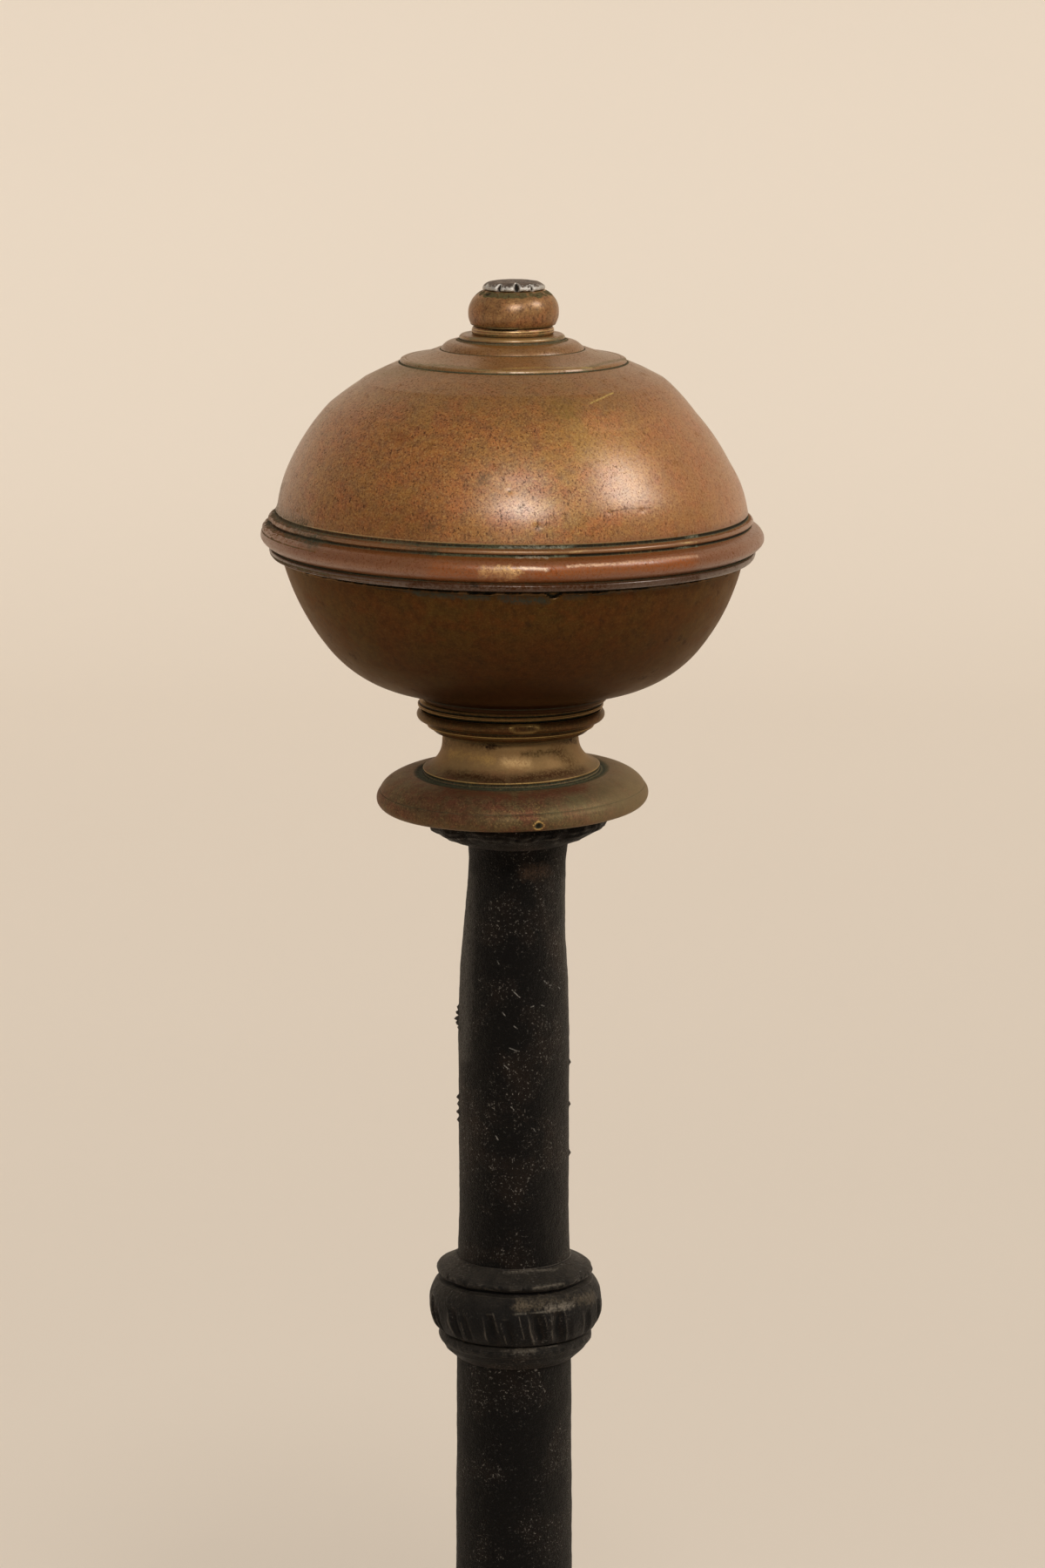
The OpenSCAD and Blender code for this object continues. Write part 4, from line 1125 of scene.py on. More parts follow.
def bowl_ageing(bearing, radius, height):
    """The ragged open joint under the seam, the dirt round it, and the seam's lean."""
    place = Vector((radius * math.sin(bearing), radius * math.cos(bearing), height))
    flat_place = Vector((place.x, place.y, 0))
    under = bowl_h - height
    ragged = 0.8 + 0.3 * grain(flat_place, 9, 61) + 0.35 * grain(flat_place, 2.2, 62)
    ragged += 0.15 * grain(flat_place, 0.9, 67)
    ragged += 1.1 * bell(facing(bearing, wedge_at) * radius, 2.4)
    ragged += 0.5 * bell(facing(bearing, wedge_at - 0.3) * radius, 5)
    open_joint = min(1, max(0, (ragged - under) / 0.3)) if radius > 45 else 0
    uneven = 0.1 * grain(place, 22, 63) + 0.03 * grain(place, 5, 64)
    dirt = smear = 0
    if radius > 40:
        dirt = bell(under - ragged, 0.9) * (0.55 + 0.5 * grain(place, 3, 65))
        smear = 0.55 * bell(under - 2.6, 2.4) * max(0, grain(Vector((place.x, place.y, height * 3)), 5, 66))
    new_r = radius - open_joint + uneven
    aloft = min(1, max(0, height / bowl_h - 0.2) / 0.8)
    if radius > 6:
        new_r += (0.2 + (BALL_SHIFT - 0.2) * aloft) * math.sin(bearing)
    return new_r, height - (SEAM_LEAN * place.x + SEAM_DROP) * aloft, 0, max(dirt, smear) + 0.7 * open_joint


bowl_shown = [(20.9, 0), (21.2, 0.3), (21.4, 1.2)]
bowl_shown += arc((22.3, bowl_h + 1.4), (27.9, bowl_h - 1.1), -86, -44, 20)
bowl_shown += arc((0, bowl_h + 11.3), (belt_r - 3.45, bowl_h + 19), -37.5, -14, 24)
bowl_shown += [(belt_r - 4.9, bowl_h - 1), (belt_r - 4.9, bowl_h)]
bowl_hidden = [(belt_r - 6.9, bowl_h), (belt_r - 6.9, bowl_h + SPIGOT_H), (belt_r - 9.7, bowl_h + SPIGOT_H),
               (belt_r - 9.7, bowl_h)]
bowl_hidden += arc((0, bowl_h + 4.4), (belt_r - 7.5, bowl_h + 3), -22, -64, 10) + [(BORE_R, 4.5), (BORE_R, 0)]
bowl = turned("ball_bowl_turning", bowl_shown, bowl_hidden, bowl_low.z / MM, 640, 0.42, bowl_ageing)
bowl_marks = [
    (on_round(335, 650, 52.8), on_round(480, 681, 52.8), 0.9, 1.8, (0.035, 0.045, 0.034), 0.9, 0),
    (on_round(480, 682, 53), on_round(560, 686, 53), 0.9, 1.8, (0.035, 0.045, 0.034), 0.8, 0),
    (on_round(575, 687, 53), on_round(628, 690, 53), 1.2, 2.2, (0.03, 0.04, 0.032), 0.85, 0),
    (on_round(650, 686, 53), on_round(672, 684, 53), 1.0, 1.5, (0.045, 0.04, 0.026), 0.8, 0),
    (on_round(690, 680, 53), on_round(790, 671, 53), 0.8, 1.8, (0.04, 0.046, 0.034), 0.7, 0),
    (on_round(682, 785, 45), on_round(686, 784, 45), 0.3, 0.2, (0.3, 0.2, 0.12), 0.6, 0),
    (on_round(770, 720, 50), on_round(771, 720, 50), 0.35, 0.2, (0.3, 0.2, 0.12), 0.6, 0),
    (on_round(543, 671, 54), on_round(545, 671, 54), 0.8, 0.5, (0.012, 0.01, 0.006), 0.8, 0.05)]
# The bowl's colours are much darker than the dome's: a darker patina, and painted shade for a bowl that faces
# the floor. The tint darkens it further towards the foot, also as painted shade.
bowl.data.materials.append(old_brass(
    "bowl_brass_and_painted_shade", brown=(0.085, 0.032, 0.0075), olive=(0.08, 0.04, 0.0085), copper=(0.094, 0.032, 0.007),
    dark=(0.02, 0.009, 0.004), green=(0.034, 0.034, 0.02), bright=(0.22, 0.12, 0.05), pitted=0.06,
    specks=0.3, scratched=0.04, dull=0.44, metal=0.45, relief=0.04,
    tints=[(up, bowl_low.z / MM + 26, bowl_low.z / MM + 3, (0.016, 0.005, 0.002), 0.85)], marks=bowl_marks))
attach(bowl, "root")
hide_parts("ball_lower_shell")


# ---------- Upper half of the ball ----------
# A cast brass dome, turned all over: a stepped cap for the button, the dome itself, and at its
# rim a belt of cove, fillet, bead and lip. It is the most handled piece, so it is the smoothest,
# with scratches and small dents in it and copper showing through on the bead. It leans to the
# right, and the cove on its left is packed with pitted dirt.
dome_h = (dome_high.z - dome_low.z) / MM
DOME_Z = 0.8                           # height of the dome's widest circle over the seam
DOME_A = belt_r - 2.7
DOME_B = dome_h + 0.1
DOME_LEAN = [(0, SEAM_LEAN), (12, SEAM_LEAN), (22, 0.026), (33, 0.026), (39, 0.002), (60, 0)]
DOME_SHIFT = [(0, BALL_SHIFT), (33, BALL_SHIFT), (42, 0.1), (45, -0.1), (48, -0.35), (60, -0.35)]
DENTS = [(585, 564, 0.9, 0.08), (617, 603, 1.3, 0.1), (738, 583, 1.1, 0.07), (403, 461, 0.7, 0.1),
         (457, 503, 1.0, 0.1), (523.6, 405, 0.7, 0.18), (700, 586, 0.9, 0.07), (502, 572, 0.7, 0.08)]
BEAD_PATCHES = [(589, 656, 2.9, 1.3), (631, 660, 0.8, 0.7), (659, 648, 0.5, 0.4), (699, 646, 0.5, 0.4)]


def on_dome(px, py):
    """Bearing, height and radius of a pixel on the dome, found by going round its outline."""
    radius = DOME_A
    for i in range(12):
        at, z = seen_at(px, py, radius)
        level = (z - dome_low.z / MM - DOME_Z) / DOME_B
        radius = DOME_A * math.sqrt(max(0.05, 1 - min(0.97, max(0, level)) ** 2))
    return at, z - dome_low.z / MM, radius


def dome_spot(px, py):
    """The point in space that is seen at a pixel on the dome."""
    return on_round(px, py, on_dome(px, py)[2])


dents = [(*on_dome(px, py), wide, deep) for px, py, wide, deep in DENTS]
bead_patches = [(*seen_at(px, py, belt_r - 0.1), wide, high) for px, py, wide, high in BEAD_PATCHES]


def dome_ageing(bearing, radius, height):
    """The dents, the belt's packed dirt and rubbed patches, the fillet's line with a painted highlight, the
    cap's edge and the dome's lean.
    """
    place = Vector((radius * math.sin(bearing), radius * math.cos(bearing), height))
    wear = dirt = 0
    uneven = 0.14 * grain(place, 24, 71) + 0.025 * grain(place, 5, 72)
    new_r = radius + (uneven - 0.1) * min(1, max(0, (radius - 26) / 10)) + 0.3 * bell(height - 16.5, 7)
    if 10 < height < dome_h - 3:
        for at, level, at_r, wide, deep in dents:
            if abs(height - level) < wide:
                off = math.hypot(facing(bearing, at) * at_r, (height - level) * 1.3)
                new_r -= deep * bell(off, wide)
                dirt = max(dirt, 0.35 * bell(off, 0.6 * wide))
                wear = max(wear, 0.4 * bell(off - 0.8 * wide, 0.4))
    if radius > belt_r - 6:
        packed = bell(facing(bearing, -1.5), 1.2) * bell(height - 8.0, 3.6)
        packed *= 0.8 + 0.45 * grain(place, 1.8, 76) + 0.3 * grain(place, 0.8, 77)
        new_r += min(0.8 * packed, max(0, belt_r - 0.4 - new_r))
        cove = bell(height - 9.7, 1.1)
        channel = bell(height - 7.75, 0.55)
        under = bell(height - 1.9, 0.6)
        caked = (1.45 + 0.5 * grain(place, 4, 81)) * bell(height - 0.7, 1.2)
        under = max(under, caked * (0.2 + 0.8 * bell(facing(bearing, -1.1), 0.9)))
        dirt = max(dirt, cove * (0.9 + 0.3 * grain(place, 6, 73)), channel * 0.9, under * 0.9,
                   packed * (0.85 + 1.7 * max(0, grain(place, 1.2, 82))))
        # The fillet's worn gold line, with a painted highlight that grows towards the right lamp
        right_highlight = 0.15 + 0.5 * math.sin(bearing)
        wear = max(wear, bell(height - 8.6, 0.4) * (right_highlight + 0.6 * grain(place, 4, 78)) * (1 - min(1, packed)))
        for at, z, wide, high in bead_patches:
            off = math.hypot(facing(bearing, at) * radius / wide, (height + dome_low.z / MM - z) / high)
            wear = max(wear, bell(off, 1.0) * (1 + grain(place, 0.8, 74)) * 1.1)
            new_r -= 0.1 * bell(off, 1.1) * max(0, grain(place, 1.1, 75))
    if radius < 26.4 and height > dome_h - 7.2:
        dirt = max(dirt, bell(height - (dome_h - 1.15), 0.4) * 0.6, bell(height - (dome_h - 6.5), 0.5) * 0.45)
        in_front = bell(facing(bearing, 0.1), 1.1)
        wear = max(wear, bell(height - (dome_h - 0.3), 0.4) * 0.5,
                   bell(height - (dome_h - 5.8), 0.35) * 0.8 * in_front)
        wear -= 0.45 * (1 - in_front)
        dirt -= 0.7 * bell(radius - 16.7, 1.6)
    if radius > 8:
        new_r += through(DOME_SHIFT, height) * math.sin(bearing)
        toward = math.cos(bearing + VIEW_TURN)
        if toward > 0.9:
            new_r = min(new_r, (belt_r - 0.02) / toward)
    drop = SEAM_DROP * min(1, max(0, (24 - height) / 12))
    return new_r, height - through(DOME_LEAN, height) * place.x - drop, wear, dirt


cap_ring = [(9.6, dome_h), (11.4, dome_h), (11.7, dome_h - 0.2), (11.95, dome_h - 0.5), (11.95, dome_h - 1.0),
            (12.5, dome_h - 1.3)]
cap_shoulder = arc((13.1, dome_h - 4.9), (3.5, 3.5), 82, 25, 8)
cap_flare = arc((31.3, dome_h + 32.5), (38.5, 38.5), 248.5, 259.6, 10)
cap_edge = [(24.9, dome_h - 5.3), (25.45, dome_h - 5.55), (25.65, dome_h - 5.95), (25.75, dome_h - 6.3),
            (26.5, dome_h - 6.5), (28.1, dome_h - 7.2), (29.7, dome_h - 7.9), (31.2, dome_h - 8.65),
            (32.7, dome_h - 9.4)]
dome_curve = arc((0, DOME_Z), (DOME_A, DOME_B), 51.2, 10.8, 54)
cove = [(belt_r - 3.9, 9.9), (belt_r - 3.85, 9.5), (belt_r - 3.2, 9.15)]
fillet = [(belt_r - 2.7, 8.95), (belt_r - 2.5, 8.6), (belt_r - 2.6, 8.25), (belt_r - 3.0, 8.0),
          (belt_r - 3.0, 7.6), (belt_r - 2.5, 7.3)]
bead = arc((belt_r - 2.5, 4.5), (2.5, 2.6), 76, -8, 14)
bead += [(belt_r - 0.3, 3.6), (belt_r - 0.8, 3.05), (belt_r - 1.5, 2.55), (belt_r - 2.2, 2.15),
         (belt_r - 2.7, 1.9)]
lip = [(belt_r - 2.4, 1.65), (belt_r - 2.0, 1.45), (belt_r - 1.9, 1.1), (belt_r - 2.1, 0.5),
       (belt_r - 2.5, 0)]
dome_hidden = [(belt_r - 6.7, 0), (belt_r - 6.7, 3)]
dome_hidden += arc((0, DOME_Z), (DOME_A - 3.2, DOME_B - 3.2), 6, 56, 10)
dome_hidden += [(BORE_R, dome_h - 10), (BORE_R, dome_h)]
dome_shown = cap_ring + cap_shoulder + cap_flare + cap_edge + dome_curve + cove + fillet + bead + lip
dome = turned("ball_dome_turning", dome_shown, dome_hidden, dome_low.z / MM, 760, 0.42, dome_ageing)

# The dome's marks and the belt's together stay under 45, because with 58 the dome came out black
DARK_MARK = (0.05, 0.022, 0.009)
GOLD_MARK = (0.6, 0.42, 0.13)
GREY_GREEN = (0.2, 0.165, 0.085)
dome_marks = [
    (dome_spot(678, 463), dome_spot(704, 451), 0.28, 0.3, GOLD_MARK, 0.9, 0),
    # A broad painted glow of golden light round the highlight on the right
    (dome_spot(670, 508), dome_spot(716, 520), 10.0, 8.0, (0.52, 0.29, 0.06), 0.28, 0),
    (dome_spot(698, 588), dome_spot(720, 584), 0.24, 0.15, DARK_MARK, 0.8, 0.05),
    (dome_spot(720, 584), dome_spot(748, 583), 0.24, 0.2, DARK_MARK, 0.6, 0.04),
    (dome_spot(614, 608), dome_spot(629, 601), 0.34, 0.3, DARK_MARK, 0.8, 0.06),
    (dome_spot(457, 503), dome_spot(461, 502), 1.8, 1.6, (0.2, 0.05, 0.02), 0.6, 0),
    (dome_spot(553, 552), dome_spot(560, 546), 1.4, 1.6, (0.11, 0.075, 0.05), 0.7, 0),
    (dome_spot(490, 604), dome_spot(497, 605), 1.1, 1.2, (0.05, 0.055, 0.025), 0.6, 0),
    (dome_spot(435, 424), dome_spot(495, 420), 3.6, 5.0, GREY_GREEN, 0.5, 0.02),
    # Painted shade over the low left of the dome, which turns away from the lamps
    (dome_spot(320, 595), dome_spot(470, 608), 9.0, 6.0, (0.15, 0.058, 0.02), 0.55, 0),
    (dome_spot(312, 590), dome_spot(345, 604), 3.4, 5.0, (0.085, 0.075, 0.045), 0.9, 0.08),
    (dome_spot(308, 580), dome_spot(318, 560), 1.6, 3.0, (0.09, 0.075, 0.04), 0.7, 0.04),
    (dome_spot(596, 583), dome_spot(602, 580), 0.4, 0.5, DARK_MARK, 0.7, 0.04),
    (dome_spot(640, 470), dome_spot(655, 475), 4.0, 4.5, (0.19, 0.12, 0.03), 0.5, 0),
    (on_round(497, 421, 26), on_round(534, 422, 26), 0.45, 0.25, DARK_MARK, 0.9, 0.04),
    (on_round(472, 416, 26), on_round(560, 424, 26), 0.9, 1.6, (0.15, 0.13, 0.06), 0.8, 0.02),
    (on_round(672, 423, 26), on_round(722, 411, 26), 1.1, 1.8, (0.15, 0.14, 0.07), 0.85, 0.02),
    (on_round(540, 388, 12.4), on_round(640, 389, 12.4), 0.6, 1.0, (0.2, 0.19, 0.11), 0.8, 0),
    (on_round(640, 389, 12.4), on_round(655, 384, 12.4), 0.9, 1.4, (0.09, 0.1, 0.055), 0.9, 0),
    (on_round(558, 423, 25.8), on_round(679, 422, 25.8), 0.25, 0.2, GOLD_MARK, 0.8, 0),
    (on_round(633, 430, 28), on_round(670, 429, 28), 0.25, 0.2, GOLD_MARK, 0.5, 0)]
COPPER_GLOW = (0.36, 0.085, 0.008)
WEAR_AND_GLINT = (0.72, 0.44, 0.19)
PALE_GREEN = (0.46, 0.44, 0.33)
belt_marks = [
    (on_round(308, 606, 55.5), on_round(360, 622, 55.5), 2.6, 2.6, (0.075, 0.078, 0.052), 0.95, 0.1),
    (on_round(360, 618, 55), on_round(500, 633, 54.5), 1.5, 2.2, (0.06, 0.066, 0.042), 0.9, 0.06),
    (on_round(325, 601, 54), on_round(480, 626, 53.5), 0.5, 0.9, (0.03, 0.04, 0.026), 0.95, 0.04),
    (on_round(480, 630.5, 54.8), on_round(655, 634.5, 54.8), 0.5, 0.5, (0.14, 0.058, 0.017), 0.9, 0),
    (on_round(560, 634, 54.8), on_round(655, 634.5, 54.8), 0.2, 0.3, (0.5, 0.3, 0.12), 0.6, 0),
    (on_round(500, 656, 57), on_round(600, 660, 57), 3.2, 3.0, COPPER_GLOW, 0.45, 0),
    (on_round(620, 660, 57), on_round(790, 645, 57), 3.0, 2.0, COPPER_GLOW, 0.6, 0),
    # Worn gold on the bead's front with painted glints of the lamps on it
    (on_round(554, 656, 57), on_round(590, 659, 57), 1.7, 4.0, WEAR_AND_GLINT, 0.55, -0.05),
    (on_round(572, 652, 57), on_round(596, 656, 57), 1.1, 2.6, WEAR_AND_GLINT, 0.75, -0.05),
    (on_round(598, 652, 57), on_round(628, 654, 57), 0.5, 1.2, (0.8, 0.6, 0.42), 0.8, 0),
    (on_round(652, 650, 57), on_round(705, 647, 57), 0.45, 0.8, (0.75, 0.5, 0.33), 0.7, 0),
    (on_round(705, 647, 57), on_round(800, 638, 57), 0.5, 0.6, (0.7, 0.45, 0.28), 0.55, 0),
    # Verdigris in the cove and the fillet's channel, paler in the middle and to the right where painted sheen
    # lies on it; the brightest lines among them are painted highlights on the worn fillet
    (on_round(440, 622, 53.5), on_round(575, 628, 53.5), 0.6, 0.9, (0.13, 0.135, 0.08), 0.7, 0),
    (on_round(575, 628, 53.5), on_round(645, 628, 53.5), 0.5, 1.6, PALE_GREEN, 0.4, 0),
    (on_round(645, 628, 53.5), on_round(800, 615, 53.5), 0.5, 0.8, (0.2, 0.2, 0.14), 0.8, 0),
    (on_round(500, 636, 55), on_round(596, 639.5, 55), 0.4, 0.7, (0.15, 0.15, 0.085), 0.7, 0),
    (on_round(594, 639.5, 55), on_round(628, 639.5, 55), 0.4, 1.2, (0.6, 0.52, 0.38), 0.55, 0),
    (on_round(628, 639.5, 55), on_round(800, 627, 55), 0.4, 0.7, (0.24, 0.235, 0.15), 0.8, 0),
    (on_round(655, 634, 55), on_round(800, 622, 55), 0.35, 0.3, (0.66, 0.46, 0.2), 0.7, 0),
    # The dark joint under the lip, with the painted shadow that the lip casts on it
    (on_round(470, 671, 55), on_round(580, 675, 55), 1.2, 0.7, (0.05, 0.018, 0.006), 1.0, 0),
    (on_round(580, 675, 55), on_round(680, 673.5, 55), 1.2, 0.7, (0.06, 0.02, 0.006), 1.0, 0),
    (on_round(680, 673.5, 55), on_round(800, 663, 55), 1.2, 0.7, (0.055, 0.019, 0.006), 1.0, 0),
    (on_round(542, 671, 55.5), on_round(547, 672, 55.5), 0.8, 0.5, (0.012, 0.01, 0.006), 0.9, 0.08)]
dome.data.materials.append(old_brass(
    "dome_brass", brown=(0.39, 0.139, 0.013), olive=(0.345, 0.153, 0.014), copper=(0.405, 0.118, 0.012),
    dark=(0.085, 0.03, 0.009), green=(0.085, 0.09, 0.055), bright=(0.62, 0.40, 0.13), pitted=0.2, specks=1.0,
    scratched=0.15, dull=0.5, metal=0.34, coat=1.0, relief=0.1, marks=dome_marks + belt_marks,
    # Tints: painted reflection of the pale room on the left edge, a lighter right side, an olive band over
    # the cove, the redder belt, a darker lip, and painted shade on the top by the cap
    tints=[(-right, 43, 55, (0.26, 0.145, 0.08), 0.5), (right, 12, 46, (0.42, 0.165, 0.055), 0.45),
           (up, dome_low.z / MM + 12.5, dome_low.z / MM + 10.5, (0.19, 0.12, 0.04), 0.15),
           (up, dome_low.z / MM + 10.9, dome_low.z / MM + 9.3, (0.17, 0.046, 0.008), 0.8),
           (up, dome_low.z / MM + 2.4, dome_low.z / MM + 1.5, (0.05, 0.019, 0.005), 0.9),
           (up, dome_low.z / MM + 33, dome_low.z / MM + 44, (0.17, 0.075, 0.012), 0.6)]))
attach(dome, "root")
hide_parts("ball_upper_shell")


# ---------- Button ----------
# A brass bun on a low collar, clamped under the rod's head. The groove over the collar is
# worn away on the side that faces the room.
button_low, button_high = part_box("finial_button")
button_h = (button_high.z - button_low.z) / MM
BUTTON_WORN = (577, 372)
worn_at = seen_at(*BUTTON_WORN, 9)[0]


def button_ageing(bearing, radius, height):
    """The groove with its worn side, the uneven bun, the dirt and the lean."""
    place = Vector((radius * math.sin(bearing), radius * math.cos(bearing), height))
    worn = bell(facing(bearing, worn_at) * 9, 5.2)
    channel = bell(height - 2.2, 0.6)
    fill = 0.65 * worn * channel if radius < 9.6 else 0
    uneven = 0.12 * grain(place, 6, 81) + 0.05 * grain(place, 2, 82) - 0.06
    dirt = channel * (1 - worn) * 0.9 + bell(height, 0.8) * 0.7
    dirt += bell(height - button_h + 0.6, 1.1) * (1.1 + 1.1 * grain(place, 1.3, 85))
    dirt += bell(height - 0.9, 1.1) * (0.4 + 0.7 * grain(place, 1.5, 84))
    dirt += worn * 0.35 * bell(height - 3.2, 2.2) * (1 + grain(place, 1.8, 83))
    lean = (0.04 * height - 0.2) * math.sin(bearing) if radius > 6 else 0
    return radius + fill + uneven * min(1, height / 2) + lean, height, 0, dirt


bun = arc((4.6, button_h - 5.1), (5.75, 5.55), -29, 65, 24)
button_shown = [(8.9, 0), (9.2, 0.2), (9.35, 0.7), (9.3, 1.3), (9.1, 1.65), (8.9, 1.9)] + bun
button = turned("button_turning", button_shown, [(BORE_R, button_h), (BORE_R, 0)], button_low.z / MM,
                300, 0.25, button_ageing)
button.data.materials.append(old_brass(
    "button_brass", brown=(0.33, 0.15, 0.042), olive=(0.31, 0.17, 0.045), copper=(0.36, 0.135, 0.038),
    dark=(0.07, 0.028, 0.011), green=(0.1, 0.085, 0.038), bright=(0.6, 0.4, 0.14), pitted=0.25, specks=0.7,
    dull=0.44, metal=0.42, coat=0.6, relief=0.12))
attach(button, "root")
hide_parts("finial_button")


# ---------- Tie rod ----------
# A wrought rod through the whole stack. Its top is hammered over the button, which has split
# the head's thin edge into lobes, and its lower end is threaded for the nut.
rod_low, rod_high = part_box("tie_rod")
ROD_R = 4.75
THREAD_PITCH = 1.6
THREAD_DEPTH = 0.75
THREAD_L = 26
HEAD_R = 7.2
HEAD_H = 2.2
HEAD_STEP = 0.22                       # distance between the points of its outline
HEAD_CRACKS = [(571, 331, 0.5, 1.3), (594, 333, 0.75, 2.4), (612.5, 332, 0.45, 1.1), (556, 329, 0.3, 0.7)]
head_foot = rod_high.z / MM - HEAD_H
cracks = [(seen_at(px, py, HEAD_R)[0], half, long) for px, py, half, long in HEAD_CRACKS]
rod_len = head_foot - rod_low.z / MM


def rod_ageing(bearing, radius, height):
    """The head's lobes and splits above, and the thread below."""
    over = height - rod_len
    if over > -0.05 and radius > 2:
        place = Vector((radius * math.sin(bearing), radius * math.cos(bearing), 0))
        outer = max(0, (radius - 4) / (HEAD_R - 4))
        split = 0
        for at, half, long in cracks:
            inward = HEAD_R - radius
            open_half = half * max(0, 1 - inward / long)
            if open_half > 0:
                split = max(split, bell(facing(bearing, at) * radius, open_half + 0.2))
        lobes = 0.22 * grain(place, 1.6, 91) + 0.14 * grain(place, 0.7, 92)
        lift = 0.22 * outer * grain(place, 2.2, 93) + 0.1 * outer
        new_r = radius - outer * (0.25 + 0.9 * split) + outer * lobes
        wear = bell(over - 0.35, 0.75) * outer * 1.2
        new_z = min(rod_len + HEAD_H - 0.01, height - min(over, 0.75 * split) + lift * (1 - split))
        return new_r, new_z, wear, split
    if height < THREAD_L and radius > 4:
        turn = (height / THREAD_PITCH + bearing / (2 * math.pi)) % 1
        return radius - THREAD_DEPTH * abs(2 * turn - 1), height, 0, 0
    return radius, height, 0, 0


rod_shown = [(0, 0), (3.6, 0), (ROD_R, 1.2), (ROD_R, THREAD_L)]
rod_upper = [(ROD_R, rod_len - 0.3), (5.4, rod_len + 0.02), (6.7, rod_len + 0.02),
             (HEAD_R - 0.05, rod_len + 0.15)]
rod_upper += arc((3.2, rod_len + 0.45), (HEAD_R - 3.2, HEAD_H - 0.65), 4, 86, 12)
rod_upper += [(1.8, rod_len + HEAD_H - 0.15), (0, rod_len + HEAD_H - 0.1)]
rod_head = fine_line(rod_upper, HEAD_STEP)[1:]
rod = turned("tie_rod_forging", rod_shown, rod_head, rod_low.z / MM, 240, 0.3, rod_ageing)
rod_iron, tree, shader, place = new_material("hammered_head_iron")
rim_wear = carried(tree, "edge")
mottle = speckle(tree, place, 2.2, 4.0, 0.7)
crumbs = speckle(tree, place, 0.5, 3.0, 0.7)
colour = blended(tree, between(tree, mottle, 0.4, 0.62), (0.07, 0.046, 0.036), (0.17, 0.115, 0.08))
colour = blended(tree, between(tree, crumbs, 0.6, 0.72), colour, (0.38, 0.32, 0.25))
colour = blended(tree, between(tree, rim_wear, 0.15, 0.6), colour, (0.62, 0.58, 0.53))
colour = blended(tree, between(tree, carried(tree, "groove"), 0.2, 0.8), colour, (0.03, 0.025, 0.02))
wire(tree, shader.inputs["Base Color"], colour)
wire(tree, shader.inputs["Metallic"], between(tree, rim_wear, 0.0, 0.6, 0.5, 1.0))
wire(tree, shader.inputs["Roughness"], between(tree, crumbs, 0.3, 0.7, 0.6, 0.36))
embossed(tree, shader, sums(tree, "ADD", mottle, crumbs), 0.25)
rod.data.materials.append(rod_iron)
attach(rod, "root")
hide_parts("tie_rod")


# ---------- Tie washer ----------
# A square of plate under the log bar, cut with a chisel, that spreads the nut's pull.
washer_low, washer_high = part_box("tie_washer")
washer_s = (washer_high.x - washer_low.x) / MM
washer_z = washer_low.z / MM
washer_t = (washer_high.z - washer_low.z) / MM
washer_sections = [(washer_z, washer_s - 1, washer_s - 1, 1.2), (washer_z + 0.5, washer_s, washer_s, 1.4),
                   (washer_z + washer_t - 0.4, washer_s, washer_s, 1.4),
                   (washer_z + washer_t, washer_s - 0.8, washer_s - 0.8, 1.2)]
washer = upright_block("tie_washer_plate", washer_sections, post, lambda p: 0.12 * abs(grain(p, 5, 12)))
washer.data.materials.append(black_iron("washer_iron", 1.0, 0.35))
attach(washer, "root")
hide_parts("tie_washer")


# ---------- Tie nut ----------
# A square wrought nut on the rod's thread. Its lower corners are turned off, and a spanner
# has bruised its sides.
nut_low, nut_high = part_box("tie_nut")
nut_s = (nut_high.x - nut_low.x) / MM
nut_z = nut_low.z / MM
nut_t = (nut_high.z - nut_low.z) / MM
nut_sections = [(nut_z, 16.4, 16.4, 7.2), (nut_z + 0.4, 17.6, 17.6, 6.4), (nut_z + 1.2, 18.6, 18.6, 4),
                (nut_z + 2.2, nut_s, nut_s, 1.6)]
nut_sections += [(nut_z + 2.2 + (nut_t - 2.7) * i / 5, nut_s, nut_s, 1.3) for i in range(1, 6)]
nut_sections += [(nut_z + nut_t, nut_s - 0.8, nut_s - 0.8, 1.2)]
nut = upright_block("tie_nut_square", nut_sections, post, lambda p: 0.2 * max(0, grain(p, 2.5, 13)))
nut.data.materials.append(black_iron("nut_iron", 0.9, 0.3))
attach(nut, "root")
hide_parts("tie_nut")


# ---------- Studio ----------
# A pale warm floor that sweeps up into a backdrop, and two soft lamps: one over the camera and
# one to its right.
FLOOR_COLOUR = (0.80, 0.71, 0.61)
FLOOR_HALF = 8                         # half the floor's width, in m like the other sizes here
FLOOR_NEAR = 6
SWEEP_BACK = 2.6                       # where it starts to rise, behind the andiron
SWEEP_R = 1.2
BACKDROP_TOP = 6
LAMP_COLOUR = (1, 0.96, 0.9)
sweep = bmesh.new()
sweep_turns = [math.radians(9 * i) for i in range(1, 11)]
sweep_line = [(-FLOOR_NEAR, 0), (SWEEP_BACK, 0)]
sweep_line += [(SWEEP_BACK + SWEEP_R * math.sin(t), SWEEP_R - SWEEP_R * math.cos(t)) for t in sweep_turns]
sweep_line += [(SWEEP_BACK + SWEEP_R, BACKDROP_TOP)]
rows = [[sweep.verts.new(post - front * away + right * side + up * height)
         for side in (-FLOOR_HALF, FLOOR_HALF)] for away, height in sweep_line]
for a, b in zip(rows, rows[1:]):
    sweep.faces.new((a[0], a[1], b[1], b[0]))
sweep_mesh = bpy.data.meshes.new("floor_sweep")
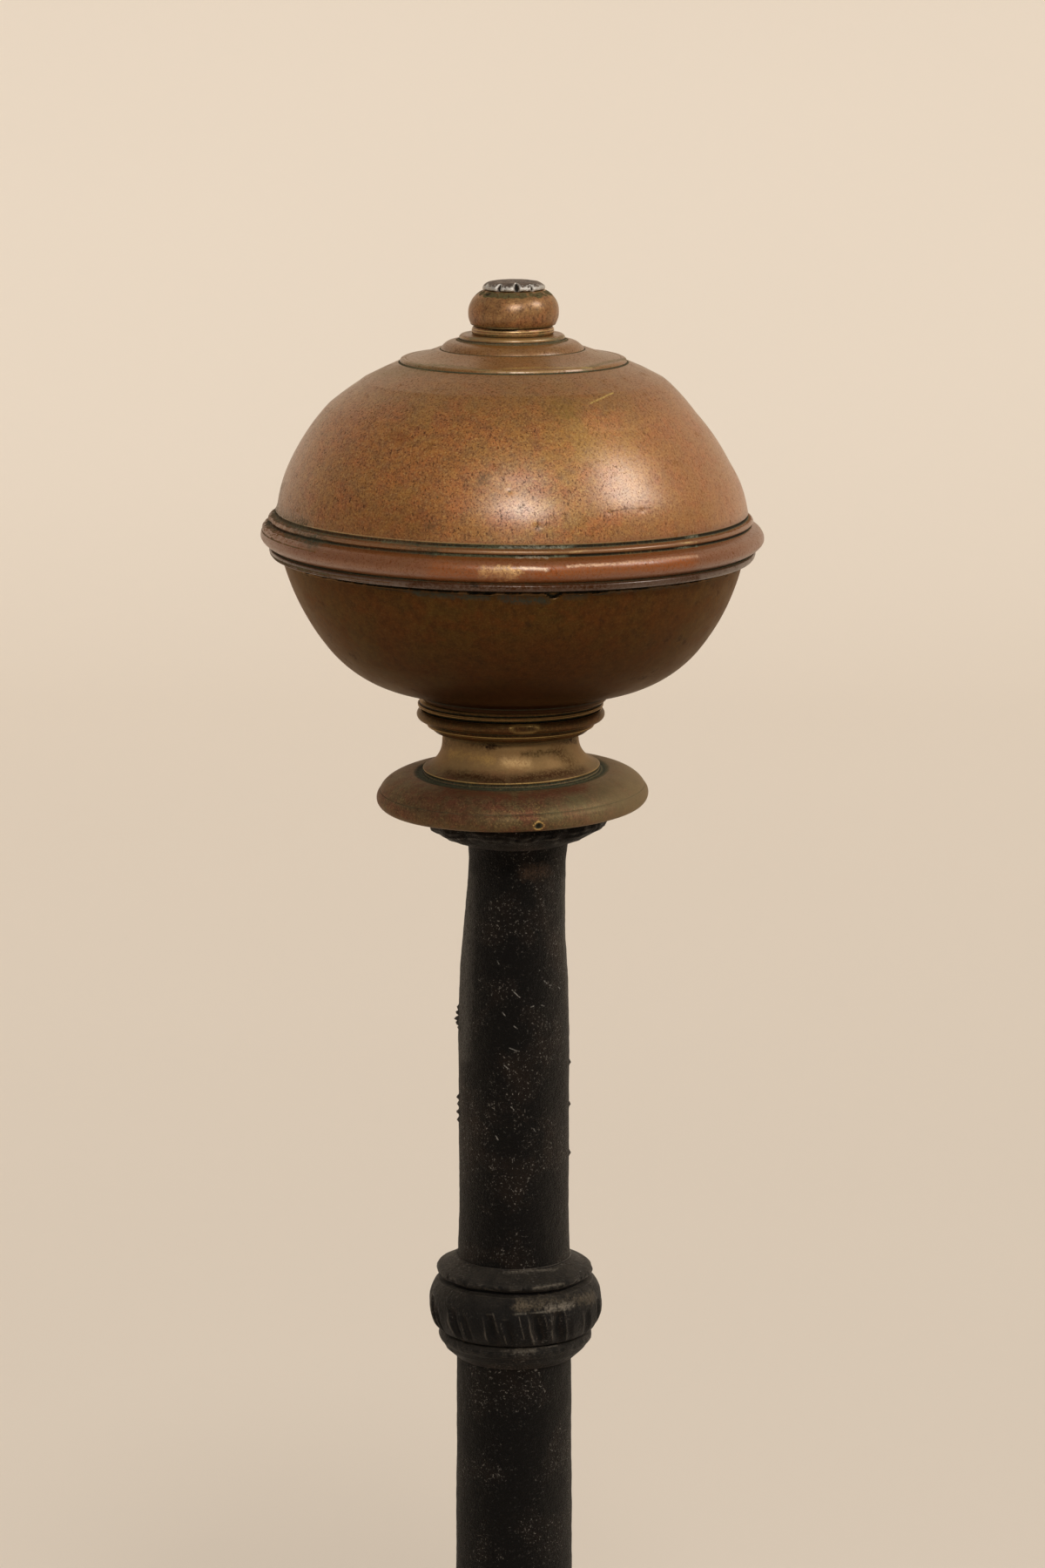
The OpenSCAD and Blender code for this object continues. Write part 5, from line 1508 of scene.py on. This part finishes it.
sweep.to_mesh(sweep_mesh)
sweep.free()
sweep_mesh.shade_smooth()
floor = bpy.data.objects.new("floor_sweep", sweep_mesh)
bpy.context.scene.collection.objects.link(floor)
paper, tree, shader, place = new_material("pale_paper")
wire(tree, shader.inputs["Base Color"],
     blended(tree, speckle(tree, place, 900, 2.0), FLOOR_COLOUR, tuple(0.95 * c for c in FLOOR_COLOUR)))
shader.inputs["Roughness"].default_value = 0.9
floor.data.materials.append(paper)


def lamp(name, bearing, rise, spread, power):
    """A far soft lamp. Its bearing is from the camera's side to the right, rise is its height
    angle and spread is how wide it looks, all in degrees."""
    data = bpy.data.lights.new(name, "SUN")
    data.angle = math.radians(spread)
    data.energy = power
    data.color = LAMP_COLOUR
    right_highlight = bpy.data.objects.new(name, data)
    way = (front * math.cos(math.radians(bearing)) + right * math.sin(math.radians(bearing))) \
        * math.cos(math.radians(rise)) + up * math.sin(math.radians(rise))
    right_highlight.location = post + way * 3
    right_highlight.rotation_mode = "QUATERNION"
    right_highlight.rotation_quaternion = (-way).to_track_quat("-Z", "Y")
    bpy.context.scene.collection.objects.link(right_highlight)


lamp("lamp_over_camera", 6, 36, 13, 1.43)
lamp("lamp_right", 72, 39, 15, 1.14)

world = bpy.data.worlds.new("studio_air")
bpy.context.scene.world = world
world.use_nodes = True
air = world.node_tree.nodes["Background"]
air.inputs["Color"].default_value = (1, 0.97, 0.93, 1)
air.inputs["Strength"].default_value = 0.25
beyond = world.node_tree.nodes.new("ShaderNodeBackground")
beyond.inputs["Color"].default_value = (0.66, 0.58, 0.48, 1)
seen = world.node_tree.nodes.new("ShaderNodeMixShader")
rays = world.node_tree.nodes.new("ShaderNodeLightPath")
wire(world.node_tree, seen.inputs[0], rays.outputs["Is Camera Ray"])
wire(world.node_tree, seen.inputs[1], air.outputs[0])
wire(world.node_tree, seen.inputs[2], beyond.outputs[0])
wire(world.node_tree, world.node_tree.nodes["World Output"].inputs["Surface"], seen.outputs[0])

bpy.context.scene.view_settings.view_transform = "Standard"
